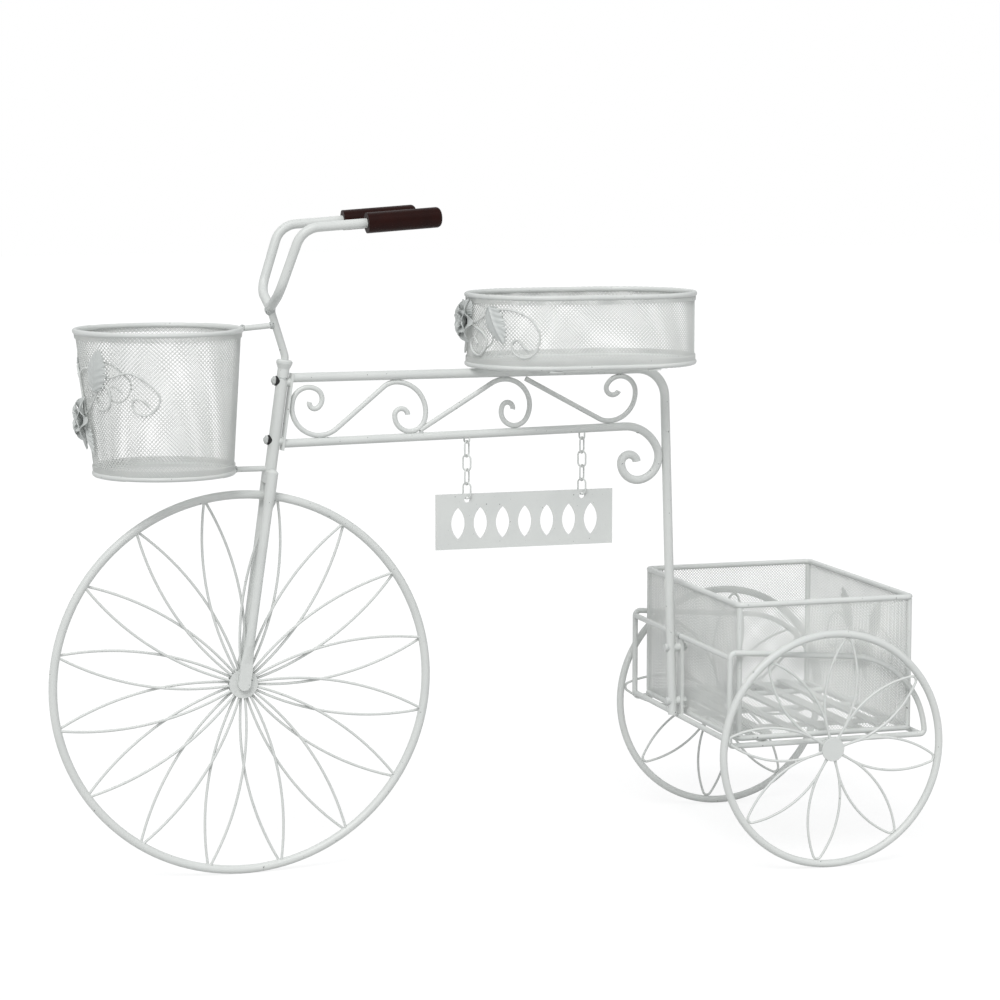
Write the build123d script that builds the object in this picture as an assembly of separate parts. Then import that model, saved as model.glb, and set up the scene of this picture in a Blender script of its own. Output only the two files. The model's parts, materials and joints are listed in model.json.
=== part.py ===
from build123d import *
from math import acos, asin, atan, ceil, cos, degrees, hypot, pi, radians, sin, sqrt, tan
import os

# Garden plant stand in the shape of a three-wheeled bicycle: a tall front wheel in a fork,
# a scroll-work frame with a hanging sign, a round basket in front, an oval basket as the seat,
# and a square basket standing in a cart between two small rear wheels.
# Millimetres. X runs along the bicycle with the front wheel at -X, Y across it, Z up.
# Everything is worked out with the front axle above X = 0, and moved at the end so that the
# origin lies under the middle of the whole stand.

# Wheels
FRONT_WHEEL_RADIUS = 205.0
REAR_WHEEL_RADIUS = 128.5
WHEELBASE = 605.0
REAR_TRACK = 323.0
FRONT_RIM_ROD = 4.5
REAR_RIM_ROD = 4.0
FRONT_PETALS = 16
REAR_PETALS = 8
FRONT_PETAL_WIRE = 1.4
REAR_PETAL_WIRE = 1.35
PETAL_BULGE = 0.086
REAR_PETAL_BULGE = 0.147
REAR_PETAL_TIP_RADIUS = 5.0
REAR_PETAL_FIRST_ANGLE = 37.0
HUB_BARREL_RADIUS = 9.0
FRONT_DISC_RADIUS = 15.3
REAR_DISC_RADIUS = 12.8
DISC_THICKNESS = 1.5
RUNNING_CLEARANCE = 0.05
TOUCH = 0.03
WELD_BITE = 0.5
PETAL_BITE = 0.2

# Front fork and head
HEAD_ANGLE = 8.1
FORK_BLADE_RADIUS = 5.0
FORK_SHOULDER_RADIUS = 6.0
FORK_TOP_OFFSET = 11.5
FORK_LENGTH = 226.0
FORK_TIP_WIDTH = 13.0
FORK_TIP_THICKNESS = 5.0
FORK_TIP_LENGTH = 22.0
FORK_TIP_TAPER = 20.0
FORK_PETAL_GAP = 0.7
CROWN_HEIGHT = 12.0
FRONT_AXLE_RADIUS = 3.0
AXLE_SEAT_DEPTH = 3.0
HUB_END_FLOAT = 0.5
STEERER_RADIUS = 6.25
STEERER_TOP = 344.0
COLLAR_RADIUS = 8.5
COLLAR_HEIGHT = 8.0
COLLAR_CHAMFER = 1.5

# Stem, handlebar and grips
STEM_RADIUS = 4.0
STEM_INSERT = 15.0
STEM_BEND_RADIUS = 15.0
STEM_BEND_ANGLE = 25.0
STEM_REACH = 50.0
BAR_RADIUS = 5.0
BAR_FORK_RISE = 17.0
BAR_FORK_HALF_WIDTH = 41.0
BAR_TOP_SETBACK = 23.0
BAR_TOP_HALF_WIDTH = 50.0
BAR_TOP_RISE = 84.0
BAR_END_SETBACK = 168.0
BAR_END_HALF_WIDTH = 48.0
BAR_END_RISE = 94.0
BAR_FOOT_BEND = 20.0
BAR_FORK_BEND = 24.0
BAR_TOP_BEND = 26.0
GRIP_RADIUS = 10.7
GRIP_LENGTH = 80.0
GRIP_CAP_THICKNESS = 3.0
GRIP_ROUNDING = 5.0

# Frame
FRAME_TUBE_RADIUS = 5.0
FRAME_TUBE_WALL = 1.0
LOWER_TUBE_RADIUS = 4.5
TOP_TUBE_HEIGHT = 526.5
LOWER_TUBE_HEIGHT = 457.5
LOWER_TUBE_RISE = 1.0
SEAT_TUBE_LEAN = 1.9
SEAT_TUBE_FOOT_X = 484.0
SEAT_TUBE_FOOT_Z = 143.0
SEAT_BEND_RADIUS = 32.0
STRIP_WIDTH = 12.0
STRIP_THICKNESS = 2.5
STRIP_END_MARGIN = 1.0
HEAD_SPACER_LENGTH = 2.0
TAIL_CURL = ((39.8, 68.3), (25.0, 103.3), (19.1, 99.6), (9.0, 170.0))

# Scroll work: each curl is (radius, degrees) on a panel of the nominal height, and grows with it
SCROLL_ROD = 2.7
SCROLL_PANEL = 58.0
SCROLL_SEAT = 0.3
SCROLL_FRONT_X = 104.2
SCROLL_FRONT_SLOPE = 39.7
SCROLL_FRONT_DIAGONAL = 68.3
SCROLL_FRONT_CURLS = (
    ((30.6, 148.3), (18.0, 100.8), (12.1, 111.9), (5.9, 143.7)),
    ((22.2, 39.0), (33.5, 103.7), (17.4, 169.3), (7.4, 173.4)),
)
SCROLL_MIDDLE_X = 195.0
SCROLL_MIDDLE_SLOPE = 31.1
SCROLL_MIDDLE_DIAGONAL = 100.4
SCROLL_MIDDLE_CURL = ((30.5, 151.8), (16.3, 175.5), (6.5, 168.3))
SCROLL_REAR_X = 313.0
SCROLL_REAR_SLOPE = -28.6
SCROLL_REAR_DIAGONAL = 105.7
SCROLL_REAR_CURL = ((24.1, 22.0), (33.5, 100.1), (19.2, 147.7), (8.4, 180.6))

# Bolts: M5 studs and screws, M6 axle ends
BOLT_RADIUS = 2.5
BOLT_CLEARANCE = 0.1
CAP_NUT_FLATS = 8.0
CAP_NUT_HEIGHT = 5.0
RING_RADIUS = 5.2
RING_THICKNESS = 1.2
SPACER_RADIUS = 4.5
SEAT_NUT_FLATS = 8.0
SEAT_NUT_HEIGHT = 4.0
BOLT_HEAD_RADIUS = 4.5
BOLT_HEAD_HEIGHT = 2.6
BOLT_TAIL = 1.5
UPPER_STUD_PLACE = 321.0
LOWER_STUD_PLACE = 258.6
UPPER_SEAT_BOLT_HEIGHT = 218.0
LOWER_SEAT_BOLT_HEIGHT = 158.0
AXLE_END_RADIUS = 3.0
AXLE_NUT_FLATS = 10.0
AXLE_NUT_HEIGHT = 3.6

# Hanging sign and its chains
SIGN_LENGTH = 200.0
SIGN_HEIGHT = 60.0
SIGN_THICKNESS = 1.2
SIGN_CENTRE_X = 312.0
SIGN_HOLE_RADIUS = 3.0
SIGN_HOLE_MARGIN = 3.6
SIGN_SLACK = 0.9
SIGN_MOTIFS = 7
SIGN_MOTIF_PITCH = 25.0
SIGN_MOTIF_HEIGHT = 34.0
SIGN_MOTIF_WIDTH = 15.0
SIGN_MOTIF_DROP = 32.0
CHAIN_SPACING = 130.0
CHAIN_WIRE = 0.9
CHAIN_LEVELS = 4
CHAIN_PITCH = 15.0
CHAIN_WIDTH = 9.2
CHAIN_SLACK = 0.3
CHAIN_TURN = 45.0
EYE_DROP = 4.6
EYE_WIDTH = 6.4

# Baskets
BASKET_ROD = 3.0
MESH_THICKNESS = 1.0
FRONT_BASKET_RIM_X = -85.0
FRONT_BASKET_RIM_RADIUS = 85.0
FRONT_BASKET_RIM_Z = 579.0
FRONT_BASKET_BASE_X = -80.5
FRONT_BASKET_BASE_RADIUS = 71.5
FRONT_BASKET_BASE_Z = 432.0
BRACKET_ROD = 3.0
SEAT_BASKET_X = 375.5
SEAT_BASKET_LENGTH = 249.0
SEAT_BASKET_WIDTH = 164.0
SEAT_BASKET_HEIGHT = 73.5
SEAT_STRAP_THICKNESS = 2.0
SEAT_STRAP_WIDTH = 14.0
SEAT_STRAP_SPACING = 110.0
REAR_BASKET_FRONT_X = 505.3
REAR_BASKET_LENGTH = 199.8
REAR_BASKET_HEIGHT = 143.0
REAR_BASKET_CORNER = 6.0
FLOOR_BAR_COUNT = 3
FLOOR_BAR_SPACING = 90.0
FLOOR_STRIP_COUNT = 5
FLOOR_STRIP_WIDTH = 12.0
FLOOR_STRIP_THICKNESS = 3.0
REST_GAP = 0.3

# Cart
CART_ROD = 3.0
CART_FRONT_X = 493.0
CART_LENGTH = 226.5
CART_WHEEL_GAP = 15.0
CART_HALF_WIDTH = REAR_TRACK / 2 - CART_WHEEL_GAP
REAR_BASKET_SIDE_GAP = 7.5
REAR_BASKET_WIDTH = 2 * (CART_HALF_WIDTH - REAR_BASKET_SIDE_GAP)
CART_FRONT_HEIGHT = 100.5
CART_RAIL_SLOPE = 4.5
CART_REAR_LEAN = 5.7
CART_REAR_BEND = 92.0
CART_CORNER_BEND = 5.0
CART_FRONT_CORNER_BEND = 6.0
CART_BEARER_PLACES = (45.0, 172.0)
UPRIGHT_WIDTH = 12.0
UPRIGHT_THICKNESS = 3.0
REAR_AXLE_RADIUS = 4.0
REAR_HUB_INNER_GAP = 1.0
AXLE_LUG_WIDTH = 16.0
AXLE_LUG_THICKNESS = 6.0
AXLE_LUG_DROP = 5.5
NUT_POCKET_RADIUS = 6.6
NUT_POCKET_DEPTH = 4.5

# Ornament: vine rods, leaves and roses
VINE_ROD = 1.1
VINE_STANDOFF = 0.4
LEAF_THICKNESS = 0.8
ROSE_OUTER_PETALS = 5
ROSE_PETAL_RADIUS = 10.5
ROSE_PETAL_SETOUT = 11.0
ROSE_PETAL_TILT = 28.0
ROSE_INNER_RADIUS = 8.0
ROSE_INNER_SETOUT = 5.5
ROSE_INNER_TILT = 62.0
ROSE_PETAL_THICKNESS = 1.0
ROSE_BUD_RADIUS = 4.5
ROSE_BACK_RADIUS = 9.0
ROSE_BACK_DEPTH = 3.0
FRONT_ROSE_Z = 490.0
SEAT_ROSE_RISE = 47.0
REAR_ROSE_RISE = 62.0
VINE_STEP = 9.0
# Ornament on each basket as (round, above) places from its rose: vines, then leaves as
# (base, tip, width). Each is drawn once and mirrored to the other side of the rose.
FRONT_VINES = (
    ((5, 3), (30, 28), (54, 49), (67, 50), (94, 56), (112, 47), (119, 33), (114, 20), (99, 12),
     (89, 19), (90, 27), (98, 28), (104, 22)),
    ((12, 2), (35, 20), (58, 29), (66, 20), (58, 6), (43, 4), (37, 14), (46, 20)),
)
FRONT_LEAVES = (((44, 29), (66, 72), 27.0),)
SEAT_VINES = (
    ((5, 4), (28, 18), (46, 22), (68, 18), (86, 2), (89, -14), (78, -28), (66, -27), (60, -18), (68, -9), (76, -14)),
    ((8, -2), (30, -3), (40, -14), (34, -28), (18, -26), (14, -16)),
)
SEAT_LEAVES = (((40, 22), (64, -9), 22.0),)
REAR_VINES = (
    ((8, 6), (28, 23), (52, 33), (74, 28), (88, 10), (80, -8), (64, -6), (62, 5), (70, 8)),
)
REAR_LEAVES = (((28, 20), (52, 64), 25.0), ((3, -4), (15, -32), 15.0))

FRONT_AXLE_Z = FRONT_WHEEL_RADIUS
REAR_AXLE_Z = REAR_WHEEL_RADIUS
MIDDLE_X = (WHEELBASE + REAR_WHEEL_RADIUS - FRONT_WHEEL_RADIUS) / 2
LEFT = -1
RIGHT = 1
SIDES = (LEFT, RIGHT)

# The head frame: its origin is the front axle, its Z runs up the steerer
HEAD = Plane(
    origin=(0, 0, FRONT_AXLE_Z),
    x_dir=(cos(radians(HEAD_ANGLE)), 0, -sin(radians(HEAD_ANGLE))),
    z_dir=(sin(radians(HEAD_ANGLE)), 0, cos(radians(HEAD_ANGLE))),
)

PARTS = {}


def keep(name, *solids):
    """Store the solids of one named piece, or of one group of like pieces."""
    flat = []
    for item in solids:
        flat.extend(item.solids())
    PARTS[name] = flat
    return flat


def head_point(out, across, up):
    """A point given in the head frame, in the stand's coordinates."""
    return HEAD.from_local_coords(Vector(out, across, up))


def swept(path, radius, wall=0.0):
    """Rod, or tube of a given wall, along a wire of straights and arcs."""
    start = Plane(origin=path @ 0, z_dir=path % 0)
    section = Circle(radius)
    if wall:
        section -= Circle(radius - wall)
    return sweep(start * section, path=path)


def straight_rod(start, end, radius):
    """Round rod between two points."""
    return swept(Wire([Edge.make_line(Vector(*start), Vector(*end))]), radius)


def cut(solid, *tools):
    """Cut the tools away and keep the largest piece that is left."""
    for tool in tools:
        solid = solid - tool
    return max(solid.solids(), key=lambda piece: piece.volume)


def turned(profile, origin, axis_dir, x_dir):
    """Solid of revolution: profile points are (radius, distance along the axis)."""
    plane = Plane(origin=origin, x_dir=x_dir, z_dir=Vector(*x_dir).cross(Vector(*axis_dir)))
    face = plane * make_face(Polyline(*profile, close=True))
    return revolve(face, axis=Axis(origin, axis_dir))


def hexagon(flats, height, plane):
    """Hexagonal prism standing on a plane."""
    return extrude(plane * RegularPolygon(flats / 2, 6, major_radius=False), amount=height)


class Route:
    """A route of straights and arcs in a vertical plane along X, drawn like a pen's path."""

    def __init__(self, x, z, heading, y=0.0):
        self.x, self.z, self.heading, self.y = x, z, heading, y
        self.edges = []
        self.places = [(x, z)]

    def straight(self, length):
        start = Vector(self.x, self.y, self.z)
        self.x += length * cos(radians(self.heading))
        self.z += length * sin(radians(self.heading))
        self.edges.append(Edge.make_line(start, Vector(self.x, self.y, self.z)))
        self.places.append((self.x, self.z))
        return self

    def bend(self, radius, angle):
        """Turn by an angle, upwards when it is positive."""
        turn = 1 if angle > 0 else -1
        first = radians(self.heading)
        centre_x = self.x - turn * radius * sin(first)
        centre_z = self.z + turn * radius * cos(first)

        def place(share):
            heading = first + radians(angle) * share
            return centre_x + turn * radius * sin(heading), centre_z - turn * radius * cos(heading)

        steps = max(2, 2 * ceil(abs(angle) / 180))
        marks = [place(i / (2 * steps)) for i in range(2 * steps + 1)]
        for i in range(steps):
            ends = [Vector(px, self.y, pz) for px, pz in marks[2 * i:2 * i + 3]]
            self.edges.append(Edge.make_three_point_arc(*ends))
        fine = max(4, int(abs(angle) / 5))
        self.places.extend(place((i + 1) / fine) for i in range(fine))
        self.x, self.z = marks[-1]
        self.heading += angle
        return self

    def bends(self, curls, turn, scale=1.0):
        """A curl: a chain of arcs that turn the same way."""
        for radius, angle in curls:
            self.bend(radius * scale, turn * angle)
        return self

    def wire(self):
        return Wire(self.edges)


def ring(plane, radius, rod):
    """Closed ring of round rod."""
    return plane * Torus(radius, rod)


def front_petal_wires():
    """Bent wires of the front wheel: two layers of arcs that cross like a lattice of petals."""
    reach = FRONT_WHEEL_RADIUS - FRONT_RIM_ROD
    sagitta = PETAL_BULGE * reach
    radius = (reach ** 2 / 4 + sagitta ** 2) / (2 * sagitta)
    half_angle = degrees(asin(reach / 2 / radius))
    barrel = Cylinder(HUB_BARREL_RADIUS, 8 * FRONT_PETAL_WIRE, rotation=(90, 0, 0))
    barrel = Pos(0, 0, FRONT_AXLE_Z) * barrel
    rim = ring(Plane.XZ.offset(0) * Pos(0, FRONT_AXLE_Z, 0), reach, FRONT_RIM_ROD)
    wires = []
    for turn in SIDES:
        layer = turn * (FRONT_PETAL_WIRE + TOUCH)
        route = Route(0, FRONT_AXLE_Z, 90 - turn * half_angle, layer)
        route.bend(radius, turn * 2 * half_angle)
        wire = cut(swept(route.wire(), FRONT_PETAL_WIRE), barrel, rim)
        for i in range(FRONT_PETALS):
            angle = 360 / FRONT_PETALS * (i + 0.5)
            axle = Axis((0, 0, FRONT_AXLE_Z), (0, 1, 0))
            wires.append(wire.rotate(axle, angle))
    return wires


def rear_petal_sizes():
    """Side radius and centre of a rear petal whose sides run into its rounded tip."""
    tip = REAR_WHEEL_RADIUS - 2 * REAR_RIM_ROD - REAR_PETAL_WIRE + PETAL_BITE
    tip_centre = tip - REAR_PETAL_TIP_RADIUS
    half_width = REAR_PETAL_BULGE * tip
    root = HUB_BARREL_RADIUS - REAR_PETAL_WIRE
    root_half = REAR_PETAL_WIRE * 1.5
    low, high = half_width, 50 * half_width
    for _ in range(80):
        side = (low + high) / 2
        inner = sqrt(max(0.0, 2 * (half_width - root_half) * side - (half_width - root_half) ** 2))
        outer = sqrt(max(0.0, 2 * (half_width - REAR_PETAL_TIP_RADIUS) * side
                         - (half_width ** 2 - REAR_PETAL_TIP_RADIUS ** 2)))
        if inner + outer < tip_centre - root:
            low = side
        else:
            high = side
    return root, root_half, tip_centre, half_width, side, root + inner


def rear_petal_wires(hub_y):
    """Eight bent wires of a rear wheel, each one petal with a rounded tip."""
    root, root_half, tip_centre, half_width, side, widest = rear_petal_sizes()
    centre_z = half_width - side
    lean = degrees(asin((tip_centre - widest) / (side - REAR_PETAL_TIP_RADIUS)))
    start = degrees(asin((widest - root) / side))
    route = Route(root, root_half, start, hub_y)
    route.bend(side, -(start + lean))
    route.bend(REAR_PETAL_TIP_RADIUS, -(180 - 2 * lean))
    route.bend(side, -(start + lean))
    barrel = Pos(0, hub_y, 0) * Cylinder(HUB_BARREL_RADIUS, 8 * REAR_PETAL_WIRE, rotation=(90, 0, 0))
    rim = ring(Plane(origin=(0, hub_y, 0), z_dir=(0, 1, 0)), REAR_WHEEL_RADIUS - REAR_RIM_ROD, REAR_RIM_ROD)
    wire = cut(swept(route.wire(), REAR_PETAL_WIRE), barrel, rim)
    axle = Axis((0, 0, 0), (0, 1, 0))
    wires = []
    for i in range(REAR_PETALS):
        angle = -(REAR_PETAL_FIRST_ANGLE + 360 / REAR_PETALS * i)
        wires.append(Pos(WHEELBASE, 0, REAR_AXLE_Z) * wire.rotate(axle, angle))
    return wires


def front_wheel():
    """Front rim, petals and hub."""
    rim_radius = FRONT_WHEEL_RADIUS - FRONT_RIM_ROD
    centre = (0, 0, FRONT_AXLE_Z)
    keep("front_rim", ring(Plane(origin=centre, z_dir=(0, 1, 0)), rim_radius, FRONT_RIM_ROD))
    keep("front_petals", *front_petal_wires())
    inner = 2 * (FRONT_PETAL_WIRE + TOUCH)
    bore = FRONT_AXLE_RADIUS + RUNNING_CLEARANCE
    outer = inner + DISC_THICKNESS
    profile = [
        (bore, -outer), (FRONT_DISC_RADIUS, -outer), (FRONT_DISC_RADIUS, -inner),
        (HUB_BARREL_RADIUS, -inner), (HUB_BARREL_RADIUS, inner), (FRONT_DISC_RADIUS, inner),
        (FRONT_DISC_RADIUS, outer), (bore, outer),
    ]
    keep("front_hub", turned(profile, centre, (0, 1, 0), (1, 0, 0)))
    return outer


def rear_wheel(side):
    """One rear wheel: rim, petals, hub with a pocket for the axle nut, and the cap over it."""
    name = "left" if side == LEFT else "right"
    hub_y = side * REAR_TRACK / 2
    centre = (WHEELBASE, hub_y, REAR_AXLE_Z)
    outward = (0, side, 0)
    rim_radius = REAR_WHEEL_RADIUS - REAR_RIM_ROD
    keep(f"{name}_rear_rim", ring(Plane(origin=centre, z_dir=(0, 1, 0)), rim_radius, REAR_RIM_ROD))
    keep(f"{name}_rear_petals", *rear_petal_wires(hub_y))
    inner_end = CART_HALF_WIDTH + CART_ROD + REAR_HUB_INNER_GAP - REAR_TRACK / 2
    outer_end = REAR_PETAL_WIRE + TOUCH
    bore = REAR_AXLE_RADIUS + RUNNING_CLEARANCE
    web = outer_end - NUT_POCKET_DEPTH
    profile = [
        (bore, inner_end), (HUB_BARREL_RADIUS, inner_end), (HUB_BARREL_RADIUS, outer_end),
        (NUT_POCKET_RADIUS, outer_end), (NUT_POCKET_RADIUS, web), (bore, web),
    ]
    keep(f"{name}_rear_hub", turned(profile, centre, outward, (1, 0, 0)))
    cap = Plane(origin=(WHEELBASE, hub_y + side * outer_end, REAR_AXLE_Z), z_dir=outward)
    disc = extrude(cap * Circle(REAR_DISC_RADIUS), amount=DISC_THICKNESS)
    outer_edges = disc.edges().group_by(Axis.Y)[0 if side == LEFT else -1]
    keep(f"{name}_hub_cap", fillet(outer_edges, DISC_THICKNESS / 3))
    shoulder = REAR_TRACK / 2 + web + HUB_END_FLOAT / 2
    return shoulder


def fork(hub_half):
    """Axle, two fork blades with flattened tips, and the crown between their tops."""
    tip_y = hub_half + HUB_END_FLOAT + FORK_TIP_THICKNESS / 2
    pin = tip_y - FORK_TIP_THICKNESS / 2 + AXLE_SEAT_DEPTH
    axle = Plane(origin=(0, -pin, FRONT_AXLE_Z), z_dir=(0, 1, 0)) * Circle(FRONT_AXLE_RADIUS)
    axle = extrude(axle, amount=2 * pin)
    keep("front_axle", axle)
    steerer = extrude(HEAD.offset(FORK_LENGTH) * Circle(STEERER_RADIUS), amount=STEERER_TOP - FORK_LENGTH)
    blades = []
    shoulder = FORK_LENGTH - CROWN_HEIGHT
    neck_y = 2 * FRONT_PETAL_WIRE + TOUCH + FORK_PETAL_GAP + FORK_BLADE_RADIUS
    for side in SIDES:
        neck = FORK_TIP_LENGTH + FORK_TIP_TAPER
        low = Vector(0, side * neck_y, neck)
        high = Vector(0, side * FORK_TOP_OFFSET, FORK_LENGTH)
        run = (high - low).normalized()
        length = (high - low).length
        swell = shoulder - neck - 2 * CROWN_HEIGHT
        profile = [
            (0, 0), (FORK_BLADE_RADIUS, 0), (FORK_BLADE_RADIUS, swell),
            (FORK_SHOULDER_RADIUS, swell + CROWN_HEIGHT), (FORK_SHOULDER_RADIUS, length),
            (FORK_SHOULDER_RADIUS / 2, length + FORK_SHOULDER_RADIUS / 2), (0, length + FORK_SHOULDER_RADIUS / 2),
        ]
        tube = HEAD.location * turned(profile, tuple(low), tuple(run), (1, 0, 0))
        slot = Pos(0, 0, FORK_TIP_LENGTH / 2) * Box(FORK_TIP_WIDTH, FORK_TIP_THICKNESS, FORK_TIP_LENGTH)
        slot += Cylinder(FORK_TIP_WIDTH / 2, FORK_TIP_THICKNESS, rotation=(90, 0, 0))
        tip = HEAD.location * Pos(0, side * tip_y, 0) * slot
        taper = loft([
            Plane(HEAD.location * Pos(0, side * tip_y, FORK_TIP_LENGTH))
            * RectangleRounded(FORK_TIP_WIDTH, FORK_TIP_THICKNESS, FORK_TIP_THICKNESS / 3),
            Plane(HEAD.location * Location(low, (degrees(asin(-run.Y)), 0, 0))) * Circle(FORK_BLADE_RADIUS),
        ])
        blades.append(cut(tube + taper + tip, axle, steerer))
    keep("fork_blades", *blades)
    crown = Box(2 * FORK_SHOULDER_RADIUS, 2 * FORK_TOP_OFFSET, CROWN_HEIGHT)
    crown = HEAD.location * Pos(0, 0, FORK_LENGTH - CROWN_HEIGHT / 2) * crown
    keep("fork_crown", cut(crown, *blades))
    return steerer, blades


def head_and_bars():
    """Steerer tube with its flared collar, stem, handlebar and grips."""
    chamfer_start = STEERER_TOP - COLLAR_CHAMFER
    profile = [
        (STEM_RADIUS, FORK_LENGTH), (STEERER_RADIUS, FORK_LENGTH),
        (STEERER_RADIUS, STEERER_TOP - COLLAR_HEIGHT - COLLAR_CHAMFER),
        (COLLAR_RADIUS, STEERER_TOP - COLLAR_HEIGHT / 2), (COLLAR_RADIUS, chamfer_start),
        (COLLAR_RADIUS - COLLAR_CHAMFER, STEERER_TOP), (STEM_RADIUS, STEERER_TOP),
    ]
    tube = HEAD.location * turned(profile, (0, 0, 0), (0, 0, 1), (1, 0, 0))
    foot = head_point(0, 0, STEERER_TOP - STEM_INSERT)
    route = Route(foot.X, foot.Z, 90 - HEAD_ANGLE)
    route.straight(STEM_INSERT).bend(STEM_BEND_RADIUS, STEM_BEND_ANGLE).straight(STEM_REACH)
    bar_foot = Vector(route.x, 0, route.z)
    corners = [
        (BAR_END_SETBACK, -BAR_END_HALF_WIDTH, BAR_END_RISE),
        (BAR_TOP_SETBACK, -BAR_TOP_HALF_WIDTH, BAR_TOP_RISE),
        (0, -BAR_FORK_HALF_WIDTH, BAR_FORK_RISE),
        (0, 0, 0),
        (0, BAR_FORK_HALF_WIDTH, BAR_FORK_RISE),
        (BAR_TOP_SETBACK, BAR_TOP_HALF_WIDTH, BAR_TOP_RISE),
        (BAR_END_SETBACK, BAR_END_HALF_WIDTH, BAR_END_RISE),
    ]
    points = [bar_foot + Vector(*corner) for corner in corners]
    bends = [BAR_TOP_BEND, BAR_FORK_BEND, BAR_FOOT_BEND, BAR_FORK_BEND, BAR_TOP_BEND]
    bar = swept(FilletPolyline(*points, radius=bends).wire(), BAR_RADIUS)
    keep("handlebar", bar)
    keep("stem", cut(swept(route.wire(), STEM_RADIUS), bar))
    grips = []
    for side in SIDES:
        end = points[0] if side == LEFT else points[-1]
        corner = points[1] if side == LEFT else points[-2]
        along = (end - corner).normalized()
        back = GRIP_LENGTH - GRIP_CAP_THICKNESS
        profile = [(0, 0), (GRIP_RADIUS, 0), (GRIP_RADIUS, GRIP_LENGTH), (0, GRIP_LENGTH)]
        start = end - along * back
        across = Vector(0, 1, 0) - along * along.Y
        grip = turned(profile, tuple(start), tuple(along), tuple(across.normalized()))
        far = grip.edges().filter_by(GeomType.CIRCLE).sort_by(lambda e: (e.center() - start).length)[-1]
        grips.append(cut(fillet(far, GRIP_ROUNDING), bar))
    keep("grips", *grips)
    return tube, route


def frame_tubes(strip, studs):
    """Top tube bent down into the seat tube, and the lower tube with its curled end."""
    front = head_point(STEERER_RADIUS + HEAD_SPACER_LENGTH + STRIP_THICKNESS / 2, 0, 0)

    def strip_x(height):
        return front.X + (height - front.Z) * tan(radians(HEAD_ANGLE))

    lean = radians(SEAT_TUBE_LEAN)
    top_x = strip_x(TOP_TUBE_HEIGHT)
    drop = TOP_TUBE_HEIGHT - SEAT_BEND_RADIUS * (1 - sin(lean)) - SEAT_TUBE_FOOT_Z
    bend_start = SEAT_TUBE_FOOT_X - drop * tan(lean) - SEAT_BEND_RADIUS * cos(lean)
    route = Route(top_x, TOP_TUBE_HEIGHT, 0)
    route.straight(bend_start - top_x).bend(SEAT_BEND_RADIUS, SEAT_TUBE_LEAN - 90).straight(drop / cos(lean))
    main = cut(swept(route.wire(), FRAME_TUBE_RADIUS, FRAME_TUBE_WALL), strip, *studs)
    outline = swept(route.wire(), FRAME_TUBE_RADIUS)

    def tail(length):
        pen = Route(strip_x(LOWER_TUBE_HEIGHT), LOWER_TUBE_HEIGHT, LOWER_TUBE_RISE).straight(length)
        return pen.bends(TAIL_CURL, -1)

    seat_x = lambda z: SEAT_TUBE_FOOT_X - (z - SEAT_TUBE_FOOT_Z) * tan(lean)
    trial = tail(bend_start - top_x)
    near = min(seat_x(z) - x for x, z in trial.places)
    spare = near - (FRAME_TUBE_RADIUS + LOWER_TUBE_RADIUS) + SCROLL_SEAT
    lower_route = tail(bend_start - top_x + spare)
    lower = cut(swept(lower_route.wire(), LOWER_TUBE_RADIUS), strip, outline, *studs)
    keep("main_tube", main)
    keep("lower_tube", lower)
    return outline, lower


def lower_tube_height(x):
    """Height of the lower tube's centre line at a place along the stand."""
    front = head_point(STEERER_RADIUS + HEAD_SPACER_LENGTH + STRIP_THICKNESS / 2, 0, 0)
    start = front.X + (LOWER_TUBE_HEIGHT - front.Z) * tan(radians(HEAD_ANGLE))
    return LOWER_TUBE_HEIGHT + (x - start) * tan(radians(LOWER_TUBE_RISE))


def between_tubes(draw, x, curl_low=True):
    """Scale a scroll drawn at the nominal size so that it seats on both tubes."""
    trial = draw(1.0, 0.0)
    heights = [z for _, z in trial.places]
    low_x = x
    if curl_low:
        low_x = min(trial.places, key=lambda place: place[1])[0]
    floor = lower_tube_height(low_x) + LOWER_TUBE_RADIUS + SCROLL_ROD - SCROLL_SEAT
    ceiling = TOP_TUBE_HEIGHT - FRAME_TUBE_RADIUS - SCROLL_ROD + SCROLL_SEAT
    scale = (ceiling - floor) / (max(heights) - min(heights))
    sized = draw(scale, 0.0)
    shift = ceiling - max(z for _, z in sized.places)
    return draw(scale, shift)


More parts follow.
